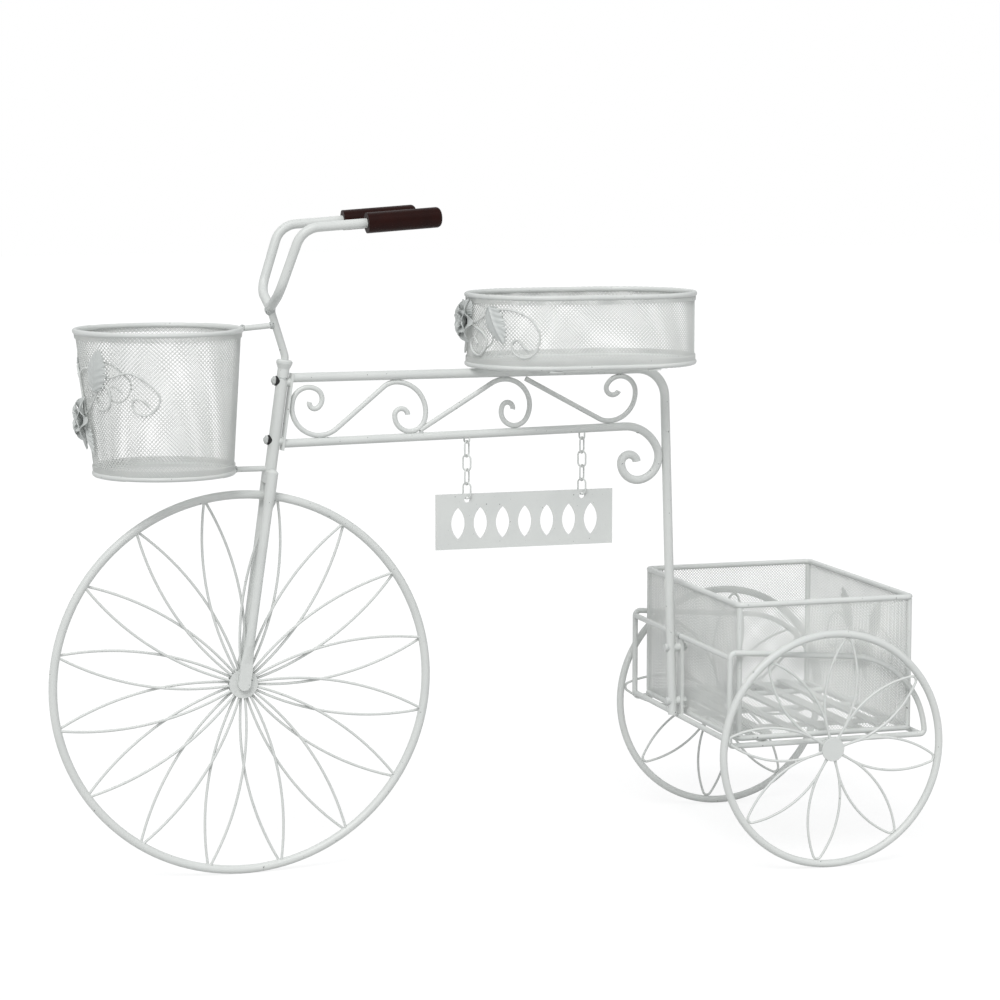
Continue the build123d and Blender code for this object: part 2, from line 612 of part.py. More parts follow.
def scrolls(top, lower):
    """The three scrolls between the tubes."""

    def front(scale, shift):
        first = Route(SCROLL_FRONT_X, shift, SCROLL_FRONT_SLOPE + 180)
        first.bends(SCROLL_FRONT_CURLS[0], -1, scale)
        second = Route(SCROLL_FRONT_X, shift, SCROLL_FRONT_SLOPE)
        second.straight(SCROLL_FRONT_DIAGONAL * scale).bends(SCROLL_FRONT_CURLS[1], -1, scale)
        second.places = first.places + second.places
        second.first_edges = first.edges
        return second

    def middle(scale, shift):
        route = Route(SCROLL_MIDDLE_X, shift, SCROLL_MIDDLE_SLOPE)
        return route.straight(SCROLL_MIDDLE_DIAGONAL * scale).bends(SCROLL_MIDDLE_CURL, -1, scale)

    def rear(scale, shift):
        route = Route(SCROLL_REAR_X, shift, SCROLL_REAR_SLOPE)
        return route.straight(SCROLL_REAR_DIAGONAL * scale).bends(SCROLL_REAR_CURL, 1, scale)

    whole = between_tubes(front, SCROLL_FRONT_X)
    backward = Wire(list(whole.first_edges))
    left_half = swept(backward, SCROLL_ROD)
    right_half = swept(whole.wire(), SCROLL_ROD)
    keep("scroll_front", cut(left_half + right_half, top, lower))
    middle_rod = swept(between_tubes(middle, SCROLL_MIDDLE_X, False).wire(), SCROLL_ROD)
    keep("scroll_middle", cut(middle_rod, top, lower, PARTS["scroll_front"][0]))
    rear_rod = swept(between_tubes(rear, SCROLL_REAR_X).wire(), SCROLL_ROD)
    keep("scroll_rear", cut(rear_rod, top, lower, PARTS["scroll_middle"][0]))


def head_joint(tube, steerer):
    """Flat strip behind the steerer, held by two studs with cap nuts, rings and spacers."""
    strip_out = STEERER_RADIUS + HEAD_SPACER_LENGTH
    low = (LOWER_TUBE_HEIGHT - LOWER_TUBE_RADIUS - STRIP_END_MARGIN - FRONT_AXLE_Z) / cos(radians(HEAD_ANGLE))
    high = (TOP_TUBE_HEIGHT + FRAME_TUBE_RADIUS + STRIP_END_MARGIN - FRONT_AXLE_Z) / cos(radians(HEAD_ANGLE))
    strip = Box(STRIP_THICKNESS, STRIP_WIDTH, high - low)
    strip = HEAD.location * Pos(strip_out + STRIP_THICKNESS / 2, 0, (low + high) / 2) * strip
    studs, nuts, rings, spacers = [], [], [], []
    for place in (LOWER_STUD_PLACE, UPPER_STUD_PLACE):
        def out(distance):
            return Plane(origin=head_point(distance, 0, place), z_dir=-HEAD.x_dir)
        ring_seat = -STEERER_RADIUS - RING_THICKNESS
        nut_seat = ring_seat
        tip = nut_seat - CAP_NUT_HEIGHT / 2
        stud = extrude(out(strip_out + STRIP_THICKNESS) * Circle(BOLT_RADIUS), amount=strip_out + STRIP_THICKNESS - tip)
        hole = extrude(out(strip_out) * Circle(BOLT_RADIUS + BOLT_CLEARANCE), amount=strip_out - ring_seat)
        bore = extrude(out(0) * Circle(STEM_RADIUS), amount=0.1)
        washer = extrude(out(0) * Circle(RING_RADIUS), amount=-ring_seat)
        washer = cut(washer, steerer, hole)
        rings.append(washer)
        nut = hexagon(CAP_NUT_FLATS, CAP_NUT_HEIGHT / 2, out(nut_seat))
        dome = out(nut_seat - CAP_NUT_HEIGHT / 2) * Sphere(CAP_NUT_FLATS / 2, arc_size1=0)
        nuts.append(cut(nut + dome, stud))
        spacer = extrude(out(strip_out) * Circle(SPACER_RADIUS), amount=strip_out)
        spacers.append(cut(spacer, steerer, hole))
        tube = tube - hole
        strip = strip - stud
        studs.append(stud)
    keep("steerer_tube", tube)
    keep("front_strip", strip)
    keep("head_studs", *studs)
    keep("cap_nuts", *nuts)
    keep("rubber_rings", *rings)
    return strip, studs, spacers


def chain_link(x, centre_z, turn):
    """One oval link, turned about the vertical."""
    end = CHAIN_WIDTH / 2
    length = CHAIN_PITCH + CHAIN_SLACK + 2 * CHAIN_WIRE
    half = length / 2 - end
    plane = Plane(origin=(x, 0, centre_z), x_dir=(cos(radians(turn)), sin(radians(turn)), 0),
                  z_dir=(sin(radians(turn)), -cos(radians(turn)), 0))
    path = Polyline((end, -half), (end, half)) + ThreePointArc((end, half), (0, half + end), (-end, half))
    path = path + Polyline((-end, half), (-end, -half)) + ThreePointArc((-end, -half), (0, -half - end), (end, -half))
    return swept(Wire((plane * path).edges()), CHAIN_WIRE)


def sign_and_chains(lower):
    """Staples under the lower tube, four levels of links and the pierced sign plate."""
    places = [SIGN_CENTRE_X + side * CHAIN_SPACING / 2 for side in SIDES]
    bar_z = min(lower_tube_height(x) for x in places) - LOWER_TUBE_RADIUS - EYE_DROP
    eyes = []
    half = EYE_WIDTH / 2
    for x in places:
        top = lower_tube_height(x)
        plane = Plane(origin=(x, 0, bar_z), x_dir=(cos(radians(-CHAIN_TURN)), sin(radians(-CHAIN_TURN)), 0),
                      z_dir=(sin(radians(-CHAIN_TURN)), -cos(radians(-CHAIN_TURN)), 0))
        path = Polyline((-half, top - bar_z), (-half, half))
        path = path + ThreePointArc((-half, half), (0, 0), (half, half)) + Polyline((half, half), (half, top - bar_z))
        staple = swept(Wire((plane * path).edges()), CHAIN_WIRE)
        eyes.append(cut(staple, lower))
    keep("chain_eyes", *eyes)
    pivots = []
    grip = CHAIN_SLACK + 2 * CHAIN_WIRE
    length = CHAIN_PITCH + CHAIN_SLACK + 2 * CHAIN_WIRE
    top_bar = bar_z + grip
    for level in range(CHAIN_LEVELS):
        pivots.append(top_bar - grip / 2)
        turn = CHAIN_TURN if level % 2 == 0 else -CHAIN_TURN
        keep(f"chain_links_{level + 1}", *[chain_link(x, top_bar - length / 2, turn) for x in places])
        low_bar = top_bar - length
        top_bar = low_bar + grip
    hole_z = low_bar + CHAIN_WIRE + SIGN_SLACK - SIGN_HOLE_RADIUS
    pivots.append(hole_z + SIGN_HOLE_RADIUS)
    top_edge = hole_z + SIGN_HOLE_RADIUS + SIGN_HOLE_MARGIN
    plate = Pos(SIGN_CENTRE_X, 0, top_edge - SIGN_HEIGHT / 2) * Box(SIGN_LENGTH, SIGN_THICKNESS, SIGN_HEIGHT)
    for x in places:
        plate -= Pos(x, 0, hole_z) * Cylinder(SIGN_HOLE_RADIUS, 2 * SIGN_THICKNESS, rotation=(90, 0, 0))
    for i in range(SIGN_MOTIFS):
        x = SIGN_CENTRE_X + (i - (SIGN_MOTIFS - 1) / 2) * SIGN_MOTIF_PITCH
        motif = pointed_oval(SIGN_MOTIF_HEIGHT, SIGN_MOTIF_WIDTH)
        plane = Plane(origin=(x, SIGN_THICKNESS, top_edge - SIGN_MOTIF_DROP), x_dir=(1, 0, 0), z_dir=(0, -1, 0))
        plate -= extrude(plane * motif, amount=2 * SIGN_THICKNESS)
    keep("sign_plate", plate)
    return places, pivots


def pointed_oval(length, width):
    """Leaf-like outline of two arcs, its points up and down."""
    half, side = length / 2, width / 2
    outline = ThreePointArc((0, -half), (side, 0), (0, half)) + ThreePointArc((0, half), (-side, 0), (0, -half))
    return make_face(outline)


def mesh_cone(base, top, thickness, grow=0.0):
    """Thin wall between two circles given as (x, z, radius)."""
    def body(inset):
        return loft([
            Plane(origin=(base[0], 0, base[1])) * Circle(base[2] + grow - inset),
            Plane(origin=(top[0], 0, top[1])) * Circle(top[2] + grow - inset),
        ])
    return body(-thickness / 2) - body(thickness / 2)


def front_basket_shape(z):
    """Centre and radius of the front basket's wall at a height."""
    share = (z - FRONT_BASKET_BASE_Z) / (FRONT_BASKET_RIM_Z - FRONT_BASKET_BASE_Z)
    x = FRONT_BASKET_BASE_X + share * (FRONT_BASKET_RIM_X - FRONT_BASKET_BASE_X)
    return x, FRONT_BASKET_BASE_RADIUS + share * (FRONT_BASKET_RIM_RADIUS - FRONT_BASKET_BASE_RADIUS)


def front_basket(steerer, stem, fork_pieces):
    """Round tapered basket on two welded bracket rods."""
    rim = ring(Plane(origin=(FRONT_BASKET_RIM_X, 0, FRONT_BASKET_RIM_Z)), FRONT_BASKET_RIM_RADIUS, BASKET_ROD)
    base = ring(Plane(origin=(FRONT_BASKET_BASE_X, 0, FRONT_BASKET_BASE_Z)), FRONT_BASKET_BASE_RADIUS, BASKET_ROD)
    wall = mesh_cone((FRONT_BASKET_BASE_X, FRONT_BASKET_BASE_Z, FRONT_BASKET_BASE_RADIUS),
                     (FRONT_BASKET_RIM_X, FRONT_BASKET_RIM_Z, FRONT_BASKET_RIM_RADIUS), MESH_THICKNESS)
    keep("front_basket_rim", rim)
    keep("front_basket_wall", cut(wall, rim, base))
    sheet = Pos(FRONT_BASKET_BASE_X, 0, FRONT_BASKET_BASE_Z) * Cylinder(FRONT_BASKET_BASE_RADIUS, MESH_THICKNESS)
    keep("front_basket_floor", base + sheet)
    rods = []
    low_z = FRONT_BASKET_BASE_Z
    low_x = head_point(0, 0, (low_z - FRONT_AXLE_Z) / cos(radians(HEAD_ANGLE))).X
    low_start = FRONT_BASKET_BASE_X + FRONT_BASKET_BASE_RADIUS + BASKET_ROD - WELD_BITE
    low = straight_rod((low_start, 0, low_z), (low_x, 0, low_z), BRACKET_ROD)
    rods.append(cut(low, base + sheet, steerer, *fork_pieces))
    start_x = FRONT_BASKET_RIM_X + FRONT_BASKET_RIM_RADIUS + BASKET_ROD - WELD_BITE
    high_z = FRONT_BASKET_RIM_Z + BRACKET_ROD
    stem_x = [x for x, z in stem.places if z < high_z][-1]
    tilt = tan(radians(STEM_BEND_ANGLE - HEAD_ANGLE))
    stem_x -= (high_z - [z for _, z in stem.places if z < high_z][-1]) * tilt
    high = straight_rod((start_x, 0, FRONT_BASKET_RIM_Z), (stem_x, 0, high_z), BRACKET_ROD)
    rods.append(cut(high, rim, PARTS["stem"][0]))
    keep("front_basket_brackets", *rods)


def seat_basket(top):
    """Oval basket with straight walls, standing on two straps across the top tube."""
    strap_z = TOP_TUBE_HEIGHT + FRAME_TUBE_RADIUS - SCROLL_SEAT
    base_z = strap_z + SEAT_STRAP_THICKNESS + BASKET_ROD - WELD_BITE
    rim_z = base_z + SEAT_BASKET_HEIGHT
    oval = SlotOverall(SEAT_BASKET_LENGTH, SEAT_BASKET_WIDTH)
    centre = Plane(origin=(SEAT_BASKET_X, 0, base_z))

    def hoop(height):
        return swept((Pos(0, 0, height) * (centre * oval)).wire(), BASKET_ROD)

    base = hoop(0)
    rim = hoop(SEAT_BASKET_HEIGHT)
    grown = SlotOverall(SEAT_BASKET_LENGTH + MESH_THICKNESS, SEAT_BASKET_WIDTH + MESH_THICKNESS)
    shrunk = SlotOverall(SEAT_BASKET_LENGTH - MESH_THICKNESS, SEAT_BASKET_WIDTH - MESH_THICKNESS)
    wall = extrude(centre * (grown - shrunk), amount=SEAT_BASKET_HEIGHT)
    keep("seat_basket_rim", rim)
    keep("seat_basket_wall", cut(wall, rim, base))
    sheet = extrude(Plane(origin=(SEAT_BASKET_X, 0, base_z - MESH_THICKNESS / 2)) * oval, amount=MESH_THICKNESS)
    keep("seat_basket_floor", base + sheet)
    straps = []
    for side in SIDES:
        strap = Box(SEAT_STRAP_WIDTH, SEAT_BASKET_WIDTH, SEAT_STRAP_THICKNESS)
        place = Pos(SEAT_BASKET_X + side * SEAT_STRAP_SPACING / 2, 0, strap_z + SEAT_STRAP_THICKNESS / 2)
        straps.append(cut(place * strap, top, base + sheet))
    keep("seat_basket_straps", *straps)
    return base_z, rim_z


def cart(shoulder, main, spacers):
    """Side frames, cross bars, upright, its bolts, and the stub axles with their lugs and nuts."""
    floor_z = REAR_AXLE_Z + REAR_AXLE_RADIUS + CART_ROD
    front_z = floor_z + CART_FRONT_HEIGHT
    rear_x = CART_FRONT_X + CART_LENGTH
    slope, lean = tan(radians(CART_RAIL_SLOPE)), tan(radians(CART_REAR_LEAN))
    rise = (CART_FRONT_HEIGHT - CART_LENGTH * slope) / (1 - slope * lean)
    shoulder_x = rear_x - rise * lean
    frames, posts = [], []
    for side in SIDES:
        y = side * CART_HALF_WIDTH
        corners = [(CART_FRONT_X, y, floor_z), (rear_x, y, floor_z),
                   (shoulder_x, y, floor_z + rise), (CART_FRONT_X, y, front_z)]
        bends = [CART_CORNER_BEND, CART_CORNER_BEND, CART_REAR_BEND, CART_FRONT_CORNER_BEND]
        loop = FilletPolyline(*corners, radius=bends, close=True).wire()
        frames.append(swept(loop, CART_ROD))
    keep("cart_side_frames", *frames)
    bars = []
    bar_places = [(CART_FRONT_X, floor_z + CART_CORNER_BEND), (CART_FRONT_X, front_z - CART_FRONT_CORNER_BEND),
                  (rear_x - CART_CORNER_BEND, floor_z)]
    bar_places += [(CART_FRONT_X + place, floor_z) for place in CART_BEARER_PLACES]
    for x, z in bar_places:
        reach = CART_HALF_WIDTH - CART_ROD + WELD_BITE
        bar = straight_rod((x, -reach, z), (x, reach, z), CART_ROD)
        bars.append(cut(bar, *frames))
    keep("cart_cross_bars", *bars)
    seat_x = lambda z: SEAT_TUBE_FOOT_X - (z - SEAT_TUBE_FOOT_Z) * tan(radians(SEAT_TUBE_LEAN))
    low_z, high_z = bar_places[0][1], bar_places[1][1]
    upright = Pos(CART_FRONT_X, 0, (low_z + high_z) / 2) * Box(UPRIGHT_THICKNESS, UPRIGHT_WIDTH, high_z - low_z)
    upright = cut(upright, *bars)
    outline = straight_rod((seat_x(front_z), 0, front_z), (seat_x(SEAT_TUBE_FOOT_Z), 0, SEAT_TUBE_FOOT_Z),
                           FRAME_TUBE_RADIUS)
    bolts, nuts = [], []
    for z in (LOWER_SEAT_BOLT_HEIGHT, UPPER_SEAT_BOLT_HEIGHT):
        head_x = seat_x(z) - FRAME_TUBE_RADIUS
        nut_x = CART_FRONT_X + UPRIGHT_THICKNESS / 2
        tail_x = nut_x + SEAT_NUT_HEIGHT + BOLT_TAIL
        along = Plane(origin=(head_x, 0, z), x_dir=(0, 1, 0), z_dir=(1, 0, 0))
        shank = extrude(along * Circle(BOLT_RADIUS), amount=tail_x - head_x)
        dome = extrude(along.offset(-BOLT_HEAD_HEIGHT) * Circle(BOLT_HEAD_RADIUS),
                       amount=BOLT_HEAD_HEIGHT + FRAME_TUBE_RADIUS)
        dome = fillet(dome.edges().group_by(Axis.X)[0], BOLT_HEAD_HEIGHT * 0.6)
        bolts.append(cut(dome, outline) + shank)
        hole = extrude(along.offset(-1) * Circle(BOLT_RADIUS + BOLT_CLEARANCE), amount=nut_x - head_x + 1)
        main = main - hole
        upright = upright - hole
        spacer = extrude(along.offset(FRAME_TUBE_RADIUS) * Circle(SPACER_RADIUS),
                         amount=CART_FRONT_X - UPRIGHT_THICKNESS / 2 - head_x - FRAME_TUBE_RADIUS)
        spacers.append(cut(spacer, outline, hole))
        nut = hexagon(SEAT_NUT_FLATS, SEAT_NUT_HEIGHT, Plane(origin=(nut_x, 0, z), x_dir=(0, 1, 0), z_dir=(1, 0, 0)))
        nuts.append(cut(nut, shank))
    keep("main_tube", main)
    keep("cart_upright", upright)
    keep("seat_bolts", *bolts)
    keep("seat_nuts", *nuts)
    keep("frame_spacers", *spacers)
    stubs, lugs, axle_nuts = [], [], []
    for side in SIDES:
        inner = CART_HALF_WIDTH - AXLE_LUG_THICKNESS / 2
        nut_end = shoulder + AXLE_NUT_HEIGHT
        start = Plane(origin=(WHEELBASE, side * inner, REAR_AXLE_Z), z_dir=(0, side, 0))
        stub = extrude(start * Circle(REAR_AXLE_RADIUS), amount=shoulder - inner)
        tip = extrude(start.offset(shoulder - inner) * Circle(AXLE_END_RADIUS), amount=nut_end - shoulder)
        stubs.append(stub + tip)
        top = floor_z - REAR_AXLE_Z
        lug = Box(AXLE_LUG_WIDTH, AXLE_LUG_THICKNESS, top + AXLE_LUG_DROP)
        lug = Pos(WHEELBASE, side * CART_HALF_WIDTH, REAR_AXLE_Z + (top - AXLE_LUG_DROP) / 2) * lug
        lugs.append(cut(lug, frames[SIDES.index(side)], stub))
        nut = hexagon(AXLE_NUT_FLATS, AXLE_NUT_HEIGHT, start.offset(shoulder - inner))
        axle_nuts.append(cut(nut, tip))
    keep("rear_axles", *stubs)
    keep("axle_lugs", *lugs)
    keep("axle_nuts", *axle_nuts)
    return floor_z


def rear_basket(floor_z):
    """Square basket that stands on the cart's bars and lifts out."""
    base_z = floor_z + CART_ROD + REST_GAP + BASKET_ROD
    rim_z = base_z + REAR_BASKET_HEIGHT
    centre_x = REAR_BASKET_FRONT_X + REAR_BASKET_LENGTH / 2
    half_x, half_y = REAR_BASKET_LENGTH / 2, REAR_BASKET_WIDTH / 2
    outline = RectangleRounded(REAR_BASKET_LENGTH, REAR_BASKET_WIDTH, REAR_BASKET_CORNER)
    base = swept((Plane(origin=(centre_x, 0, base_z)) * outline).wire(), BASKET_ROD)
    rim = swept((Plane(origin=(centre_x, 0, rim_z)) * outline).wire(), BASKET_ROD)
    keep("rear_basket_rim", rim)
    inset = REAR_BASKET_CORNER * (1 - cos(radians(45)))
    posts = []
    for side_x in SIDES:
        for side_y in SIDES:
            x, y = centre_x + side_x * (half_x - inset), side_y * (half_y - inset)
            reach = BASKET_ROD - WELD_BITE
            posts.append(cut(straight_rod((x, y, base_z + reach), (x, y, rim_z - reach), BASKET_ROD), base, rim))
    keep("rear_basket_posts", *posts)
    walls = []
    middle_z = (base_z + rim_z) / 2
    for side in SIDES:
        sheet = Pos(centre_x, side * half_y, middle_z) * Box(REAR_BASKET_LENGTH, MESH_THICKNESS, REAR_BASKET_HEIGHT)
        walls.append(cut(sheet, base, rim, *posts))
        sheet = Pos(centre_x + side * half_x, 0, middle_z) * Box(MESH_THICKNESS, REAR_BASKET_WIDTH, REAR_BASKET_HEIGHT)
        walls.append(cut(sheet, base, rim, *posts))
    keep("rear_basket_walls", *walls)
    floor = [base]
    for i in range(FLOOR_BAR_COUNT):
        y = (i - (FLOOR_BAR_COUNT - 1) / 2) * FLOOR_BAR_SPACING
        reach = half_x - BASKET_ROD + WELD_BITE
        bar = straight_rod((centre_x - reach, y, base_z), (centre_x + reach, y, base_z), BASKET_ROD)
        floor.append(cut(bar, base))
    lattice = list(floor)
    strip_z = base_z + BASKET_ROD - WELD_BITE
    pitch = REAR_BASKET_LENGTH / (FLOOR_STRIP_COUNT + 1)
    for i in range(FLOOR_STRIP_COUNT):
        x = centre_x - half_x + (i + 1) * pitch
        strip = Box(FLOOR_STRIP_WIDTH, REAR_BASKET_WIDTH - MESH_THICKNESS - 2 * TOUCH, FLOOR_STRIP_THICKNESS)
        floor.append(cut(Pos(x, 0, strip_z + FLOOR_STRIP_THICKNESS / 2) * strip, *lattice))
    keep("rear_basket_floor", *floor)
    return base_z, rim_z


class Surface:
    """A basket's outside, unrolled: (u, v) is the way round from the rose and the height above it."""

    def __init__(self, rose, wrap, normal):
        self.rose, self.wrap, self.normal = rose, wrap, normal

    def point(self, u, v, out):
        place = self.wrap(u, self.rose.Z + v)
        return place + self.normal(u) * out


def front_surface(grow):
    """The round front basket, seen from its rose at the front."""
    middle = front_basket_shape(FRONT_ROSE_Z)[1]

    def wrap(u, z):
        x, radius = front_basket_shape(z)
        angle = u / middle
        reach = radius + grow
        return Vector(x - reach * cos(angle), -reach * sin(angle), z)

    return Surface(Vector(0, 0, FRONT_ROSE_Z), wrap, lambda u: Vector(-cos(u / middle), -sin(u / middle), 0))


def seat_surface(grow, base_z):
    """The oval seat basket, seen from its rose at the front end."""
    half = SEAT_BASKET_WIDTH / 2
    end_x = SEAT_BASKET_X - SEAT_BASKET_LENGTH / 2 + half
    quarter = half * pi / 2

    def wrap(u, z):
        side = 1 if u >= 0 else -1
        if abs(u) > quarter:
            return Vector(end_x + abs(u) - quarter, -side * (half + grow), z)
        return Vector(end_x - (half + grow) * cos(u / half), -(half + grow) * sin(u / half), z)

    def normal(u):
        angle = max(-pi / 2, min(pi / 2, u / half))
        return Vector(-cos(angle), -sin(angle), 0)

    return Surface(Vector(0, 0, base_z + SEAT_ROSE_RISE), wrap, normal)


def rear_surface(grow, base_z):
    """The flat rear face of the square basket."""
    face_x = REAR_BASKET_FRONT_X + REAR_BASKET_LENGTH + grow
    return Surface(Vector(0, 0, base_z + REAR_ROSE_RISE), lambda u, z: Vector(face_x, -u, z),
                   lambda u: Vector(1, 0, 0))


def smooth(points, step):
    """Places along a curve through the given points, about a step apart."""
    ends = [points[0]] + list(points) + [points[-1]]
    marks = [points[0]]
    for before, start, end, after in zip(ends, ends[1:], ends[2:], ends[3:]):
        count = max(1, round(hypot(end[0] - start[0], end[1] - start[1]) / step))
        for i in range(1, count + 1):
            share = i / count
            marks.append(tuple(
                b + 0.5 * share * (c - a + share * (2 * a - 5 * b + 4 * c - d + share * (3 * b - a - 3 * c + d)))
                for a, b, c, d in zip(before, start, end, after)))
    return marks


def vine(surface, route, mirror):
    """Round wire that follows a flat curve wrapped on the basket."""
    out = MESH_THICKNESS / 2 + VINE_STANDOFF + VINE_ROD
    points = [surface.point(mirror * u, v, out) for u, v in smooth(route, VINE_STEP)]
    radii = []
    for a, b, c in zip(points, points[1:], points[2:]):
        turn = radians((b - a).get_angle(c - b))
        short = min((b - a).length, (c - b).length)
        radii.append(0.45 * short / tan(turn / 2))
    return swept(FilletPolyline(*points, radius=radii).wire(), VINE_ROD)


def leaf(surface, base, tip, width, mirror):
    """Flat pointed leaf lying over its vine."""
    out = MESH_THICKNESS / 2 + VINE_STANDOFF + 2 * VINE_ROD + TOUCH
    middle_u = mirror * (base[0] + tip[0]) / 2
    normal = surface.normal(middle_u)
    low = surface.point(mirror * base[0], base[1], out)
    high = surface.point(mirror * tip[0], tip[1], out)
    centre = surface.point(middle_u, (base[1] + tip[1]) / 2, out)
    along = high - low
    along = (along - normal * along.dot(normal)).normalized()
    plane = Plane(origin=centre, x_dir=along.cross(normal), z_dir=normal)
    length = hypot(tip[0] - base[0], tip[1] - base[1])
    return extrude(plane * pointed_oval(length, width), amount=LEAF_THICKNESS)


def rose(surface, walls):
    """Rose of two rows of round petals about a bud, on a short backing boss."""
    normal = surface.normal(0)
    seat = surface.point(0, 0, 0)
    plane = Plane(origin=seat, x_dir=(0, 0, 1), z_dir=normal)
    flower = Pos(0, 0, ROSE_BACK_DEPTH / 2) * Cylinder(ROSE_BACK_RADIUS, ROSE_BACK_DEPTH)
    rows = ((ROSE_PETAL_RADIUS, ROSE_PETAL_SETOUT, ROSE_PETAL_TILT, 0.0),
            (ROSE_INNER_RADIUS, ROSE_INNER_SETOUT, ROSE_INNER_TILT, 180 / ROSE_OUTER_PETALS))
    for radius, setout, tilt, offset in rows:
        for i in range(ROSE_OUTER_PETALS):
            petal = Rot(0, -tilt, 0) * Cylinder(radius, ROSE_PETAL_THICKNESS)
            lift = ROSE_BACK_DEPTH + radius * sin(radians(tilt)) * 0.6
            angle = 360 / ROSE_OUTER_PETALS * i + offset
            flower += Rot(0, 0, angle) * Pos(setout, 0, lift) * petal
    flower += Pos(0, 0, ROSE_BACK_DEPTH + ROSE_BUD_RADIUS) * Sphere(ROSE_BUD_RADIUS)
    flower += Pos(0, 0, ROSE_BACK_DEPTH) * Cylinder(ROSE_BUD_RADIUS, ROSE_BUD_RADIUS)
    return cut(plane.location * flower, *walls)


def spray(surface, flower, vines, leaves):
    """Vines and leaves on both sides of a rose."""
    pieces = []
    for mirror in SIDES:
        grown = [flower]
        for route in vines:
            grown.append(cut(vine(surface, route, mirror), *grown))
        pieces.extend(grown[1:])
        for base, tip, width in leaves:
            pieces.append(cut(leaf(surface, base, tip, width, mirror), flower))
    return pieces


def ornaments(seat_base_z, rear_base_z):
    """Roses, vines and leaves of the three baskets."""
    baskets = (
        ("front_basket", front_surface(0), PARTS["front_basket_wall"], FRONT_VINES, FRONT_LEAVES),
        ("seat_basket", seat_surface(0, seat_base_z), PARTS["seat_basket_wall"], SEAT_VINES, SEAT_LEAVES),
        ("rear_basket", rear_surface(0, rear_base_z), PARTS["rear_basket_walls"], REAR_VINES, REAR_LEAVES),
    )
    for name, surface, walls, vines, leaves in baskets:
        flower = rose(surface, walls)
        keep(f"{name}_rose", flower)
        keep(f"{name}_vines", *spray(surface, flower, vines, leaves))


def build():
    """Every piece, in the order in which one seats on another."""
    hub_half = front_wheel()
    shoulder = rear_wheel(LEFT)
    rear_wheel(RIGHT)
    steerer, blades = fork(hub_half)
    tube, stem_route = head_and_bars()
    strip, studs, spacers = head_joint(tube, steerer)
    outline, lower = frame_tubes(strip, studs)
    scrolls(outline, lower)
    places, pivots = sign_and_chains(lower)
    front_basket(steerer, stem_route, blades + PARTS["fork_crown"])
    seat_base_z, seat_rim_z = seat_basket(outline)
    floor_z = cart(shoulder, PARTS["main_tube"][0], spacers)
    rear_base_z, rear_rim_z = rear_basket(floor_z)
    ornaments(seat_base_z, rear_base_z)
    print("sign pivots", [round(z, 3) for z in pivots], "chain places", [round(x - MIDDLE_X, 3) for x in places])
    print("seat basket", seat_base_z, seat_rim_z, "cart floor", floor_z, "rear basket", rear_base_z, rear_rim_z)
    print("middle x", MIDDLE_X)


build()
os.makedirs("parts", exist_ok=True)
for name, solids in PARTS.items():
    moved = [Pos(-MIDDLE_X, 0, 0) * solid for solid in solids]
    export_step(Compound(moved) if len(moved) > 1 else moved[0], f"parts/{name}.step")
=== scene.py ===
"""Dresses the bicycle plant stand: white powder-coated rod and tube, baskets of diamond mesh,
pressed roses and leaves, and dark brown grips. Lengths are millimetres unless a name says otherwise."""

from __future__ import annotations

import json
import logging
import math
from dataclasses import dataclass, field
from enum import Enum
from typing import Callable, Sequence

import bpy
from mathutils import Matrix, Vector, noise

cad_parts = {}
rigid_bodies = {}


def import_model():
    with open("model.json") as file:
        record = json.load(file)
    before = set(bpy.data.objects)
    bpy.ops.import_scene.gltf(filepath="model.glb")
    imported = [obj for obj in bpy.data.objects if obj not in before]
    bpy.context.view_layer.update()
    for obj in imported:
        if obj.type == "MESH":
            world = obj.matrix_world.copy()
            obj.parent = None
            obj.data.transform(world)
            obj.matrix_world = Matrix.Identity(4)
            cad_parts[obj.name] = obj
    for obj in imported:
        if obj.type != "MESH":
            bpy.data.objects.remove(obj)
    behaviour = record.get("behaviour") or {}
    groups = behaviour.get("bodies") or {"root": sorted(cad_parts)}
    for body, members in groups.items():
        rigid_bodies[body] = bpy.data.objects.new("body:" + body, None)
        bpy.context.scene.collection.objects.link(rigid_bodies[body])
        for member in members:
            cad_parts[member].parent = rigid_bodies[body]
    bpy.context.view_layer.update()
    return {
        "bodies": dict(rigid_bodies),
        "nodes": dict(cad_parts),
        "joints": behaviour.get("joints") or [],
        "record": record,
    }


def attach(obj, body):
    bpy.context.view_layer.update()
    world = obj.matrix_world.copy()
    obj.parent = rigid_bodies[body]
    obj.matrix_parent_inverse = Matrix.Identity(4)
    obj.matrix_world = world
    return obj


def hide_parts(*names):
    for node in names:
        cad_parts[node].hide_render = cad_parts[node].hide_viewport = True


log = logging.getLogger("plant_stand")

MM = 0.001
# The model's own middle, measured from the front axle.
MIDDLE_X = 264.25
# In metres: vertices closer than the first are merged, and faces smaller than the second are dissolved.
SAME_SPOT = 1e-6
NO_FACE = 1e-7
# How far out of a wall its direction is measured.
PROBE = 5.0
DIAGONAL = math.sqrt(2)
# The sRGB curve: straight below its knee, and a power above it.
SRGB_KNEE = 0.04045
SRGB_FOOT = 12.92
SRGB_LIFT = 0.055
SRGB_POWER = 2.4
# Sockets of a Mix node that mixes colours.
MIX_SHARE = 0
MIX_FIRST = 6
MIX_SECOND = 7
MIX_RESULT = 2

Place = tuple[float, float]
Spot = tuple[float, float, float]
Piece = bpy.types.Object
Vine = Sequence[Place]
Leaf = tuple[Place, Place, float]
Bead = tuple[float, float, float, float]


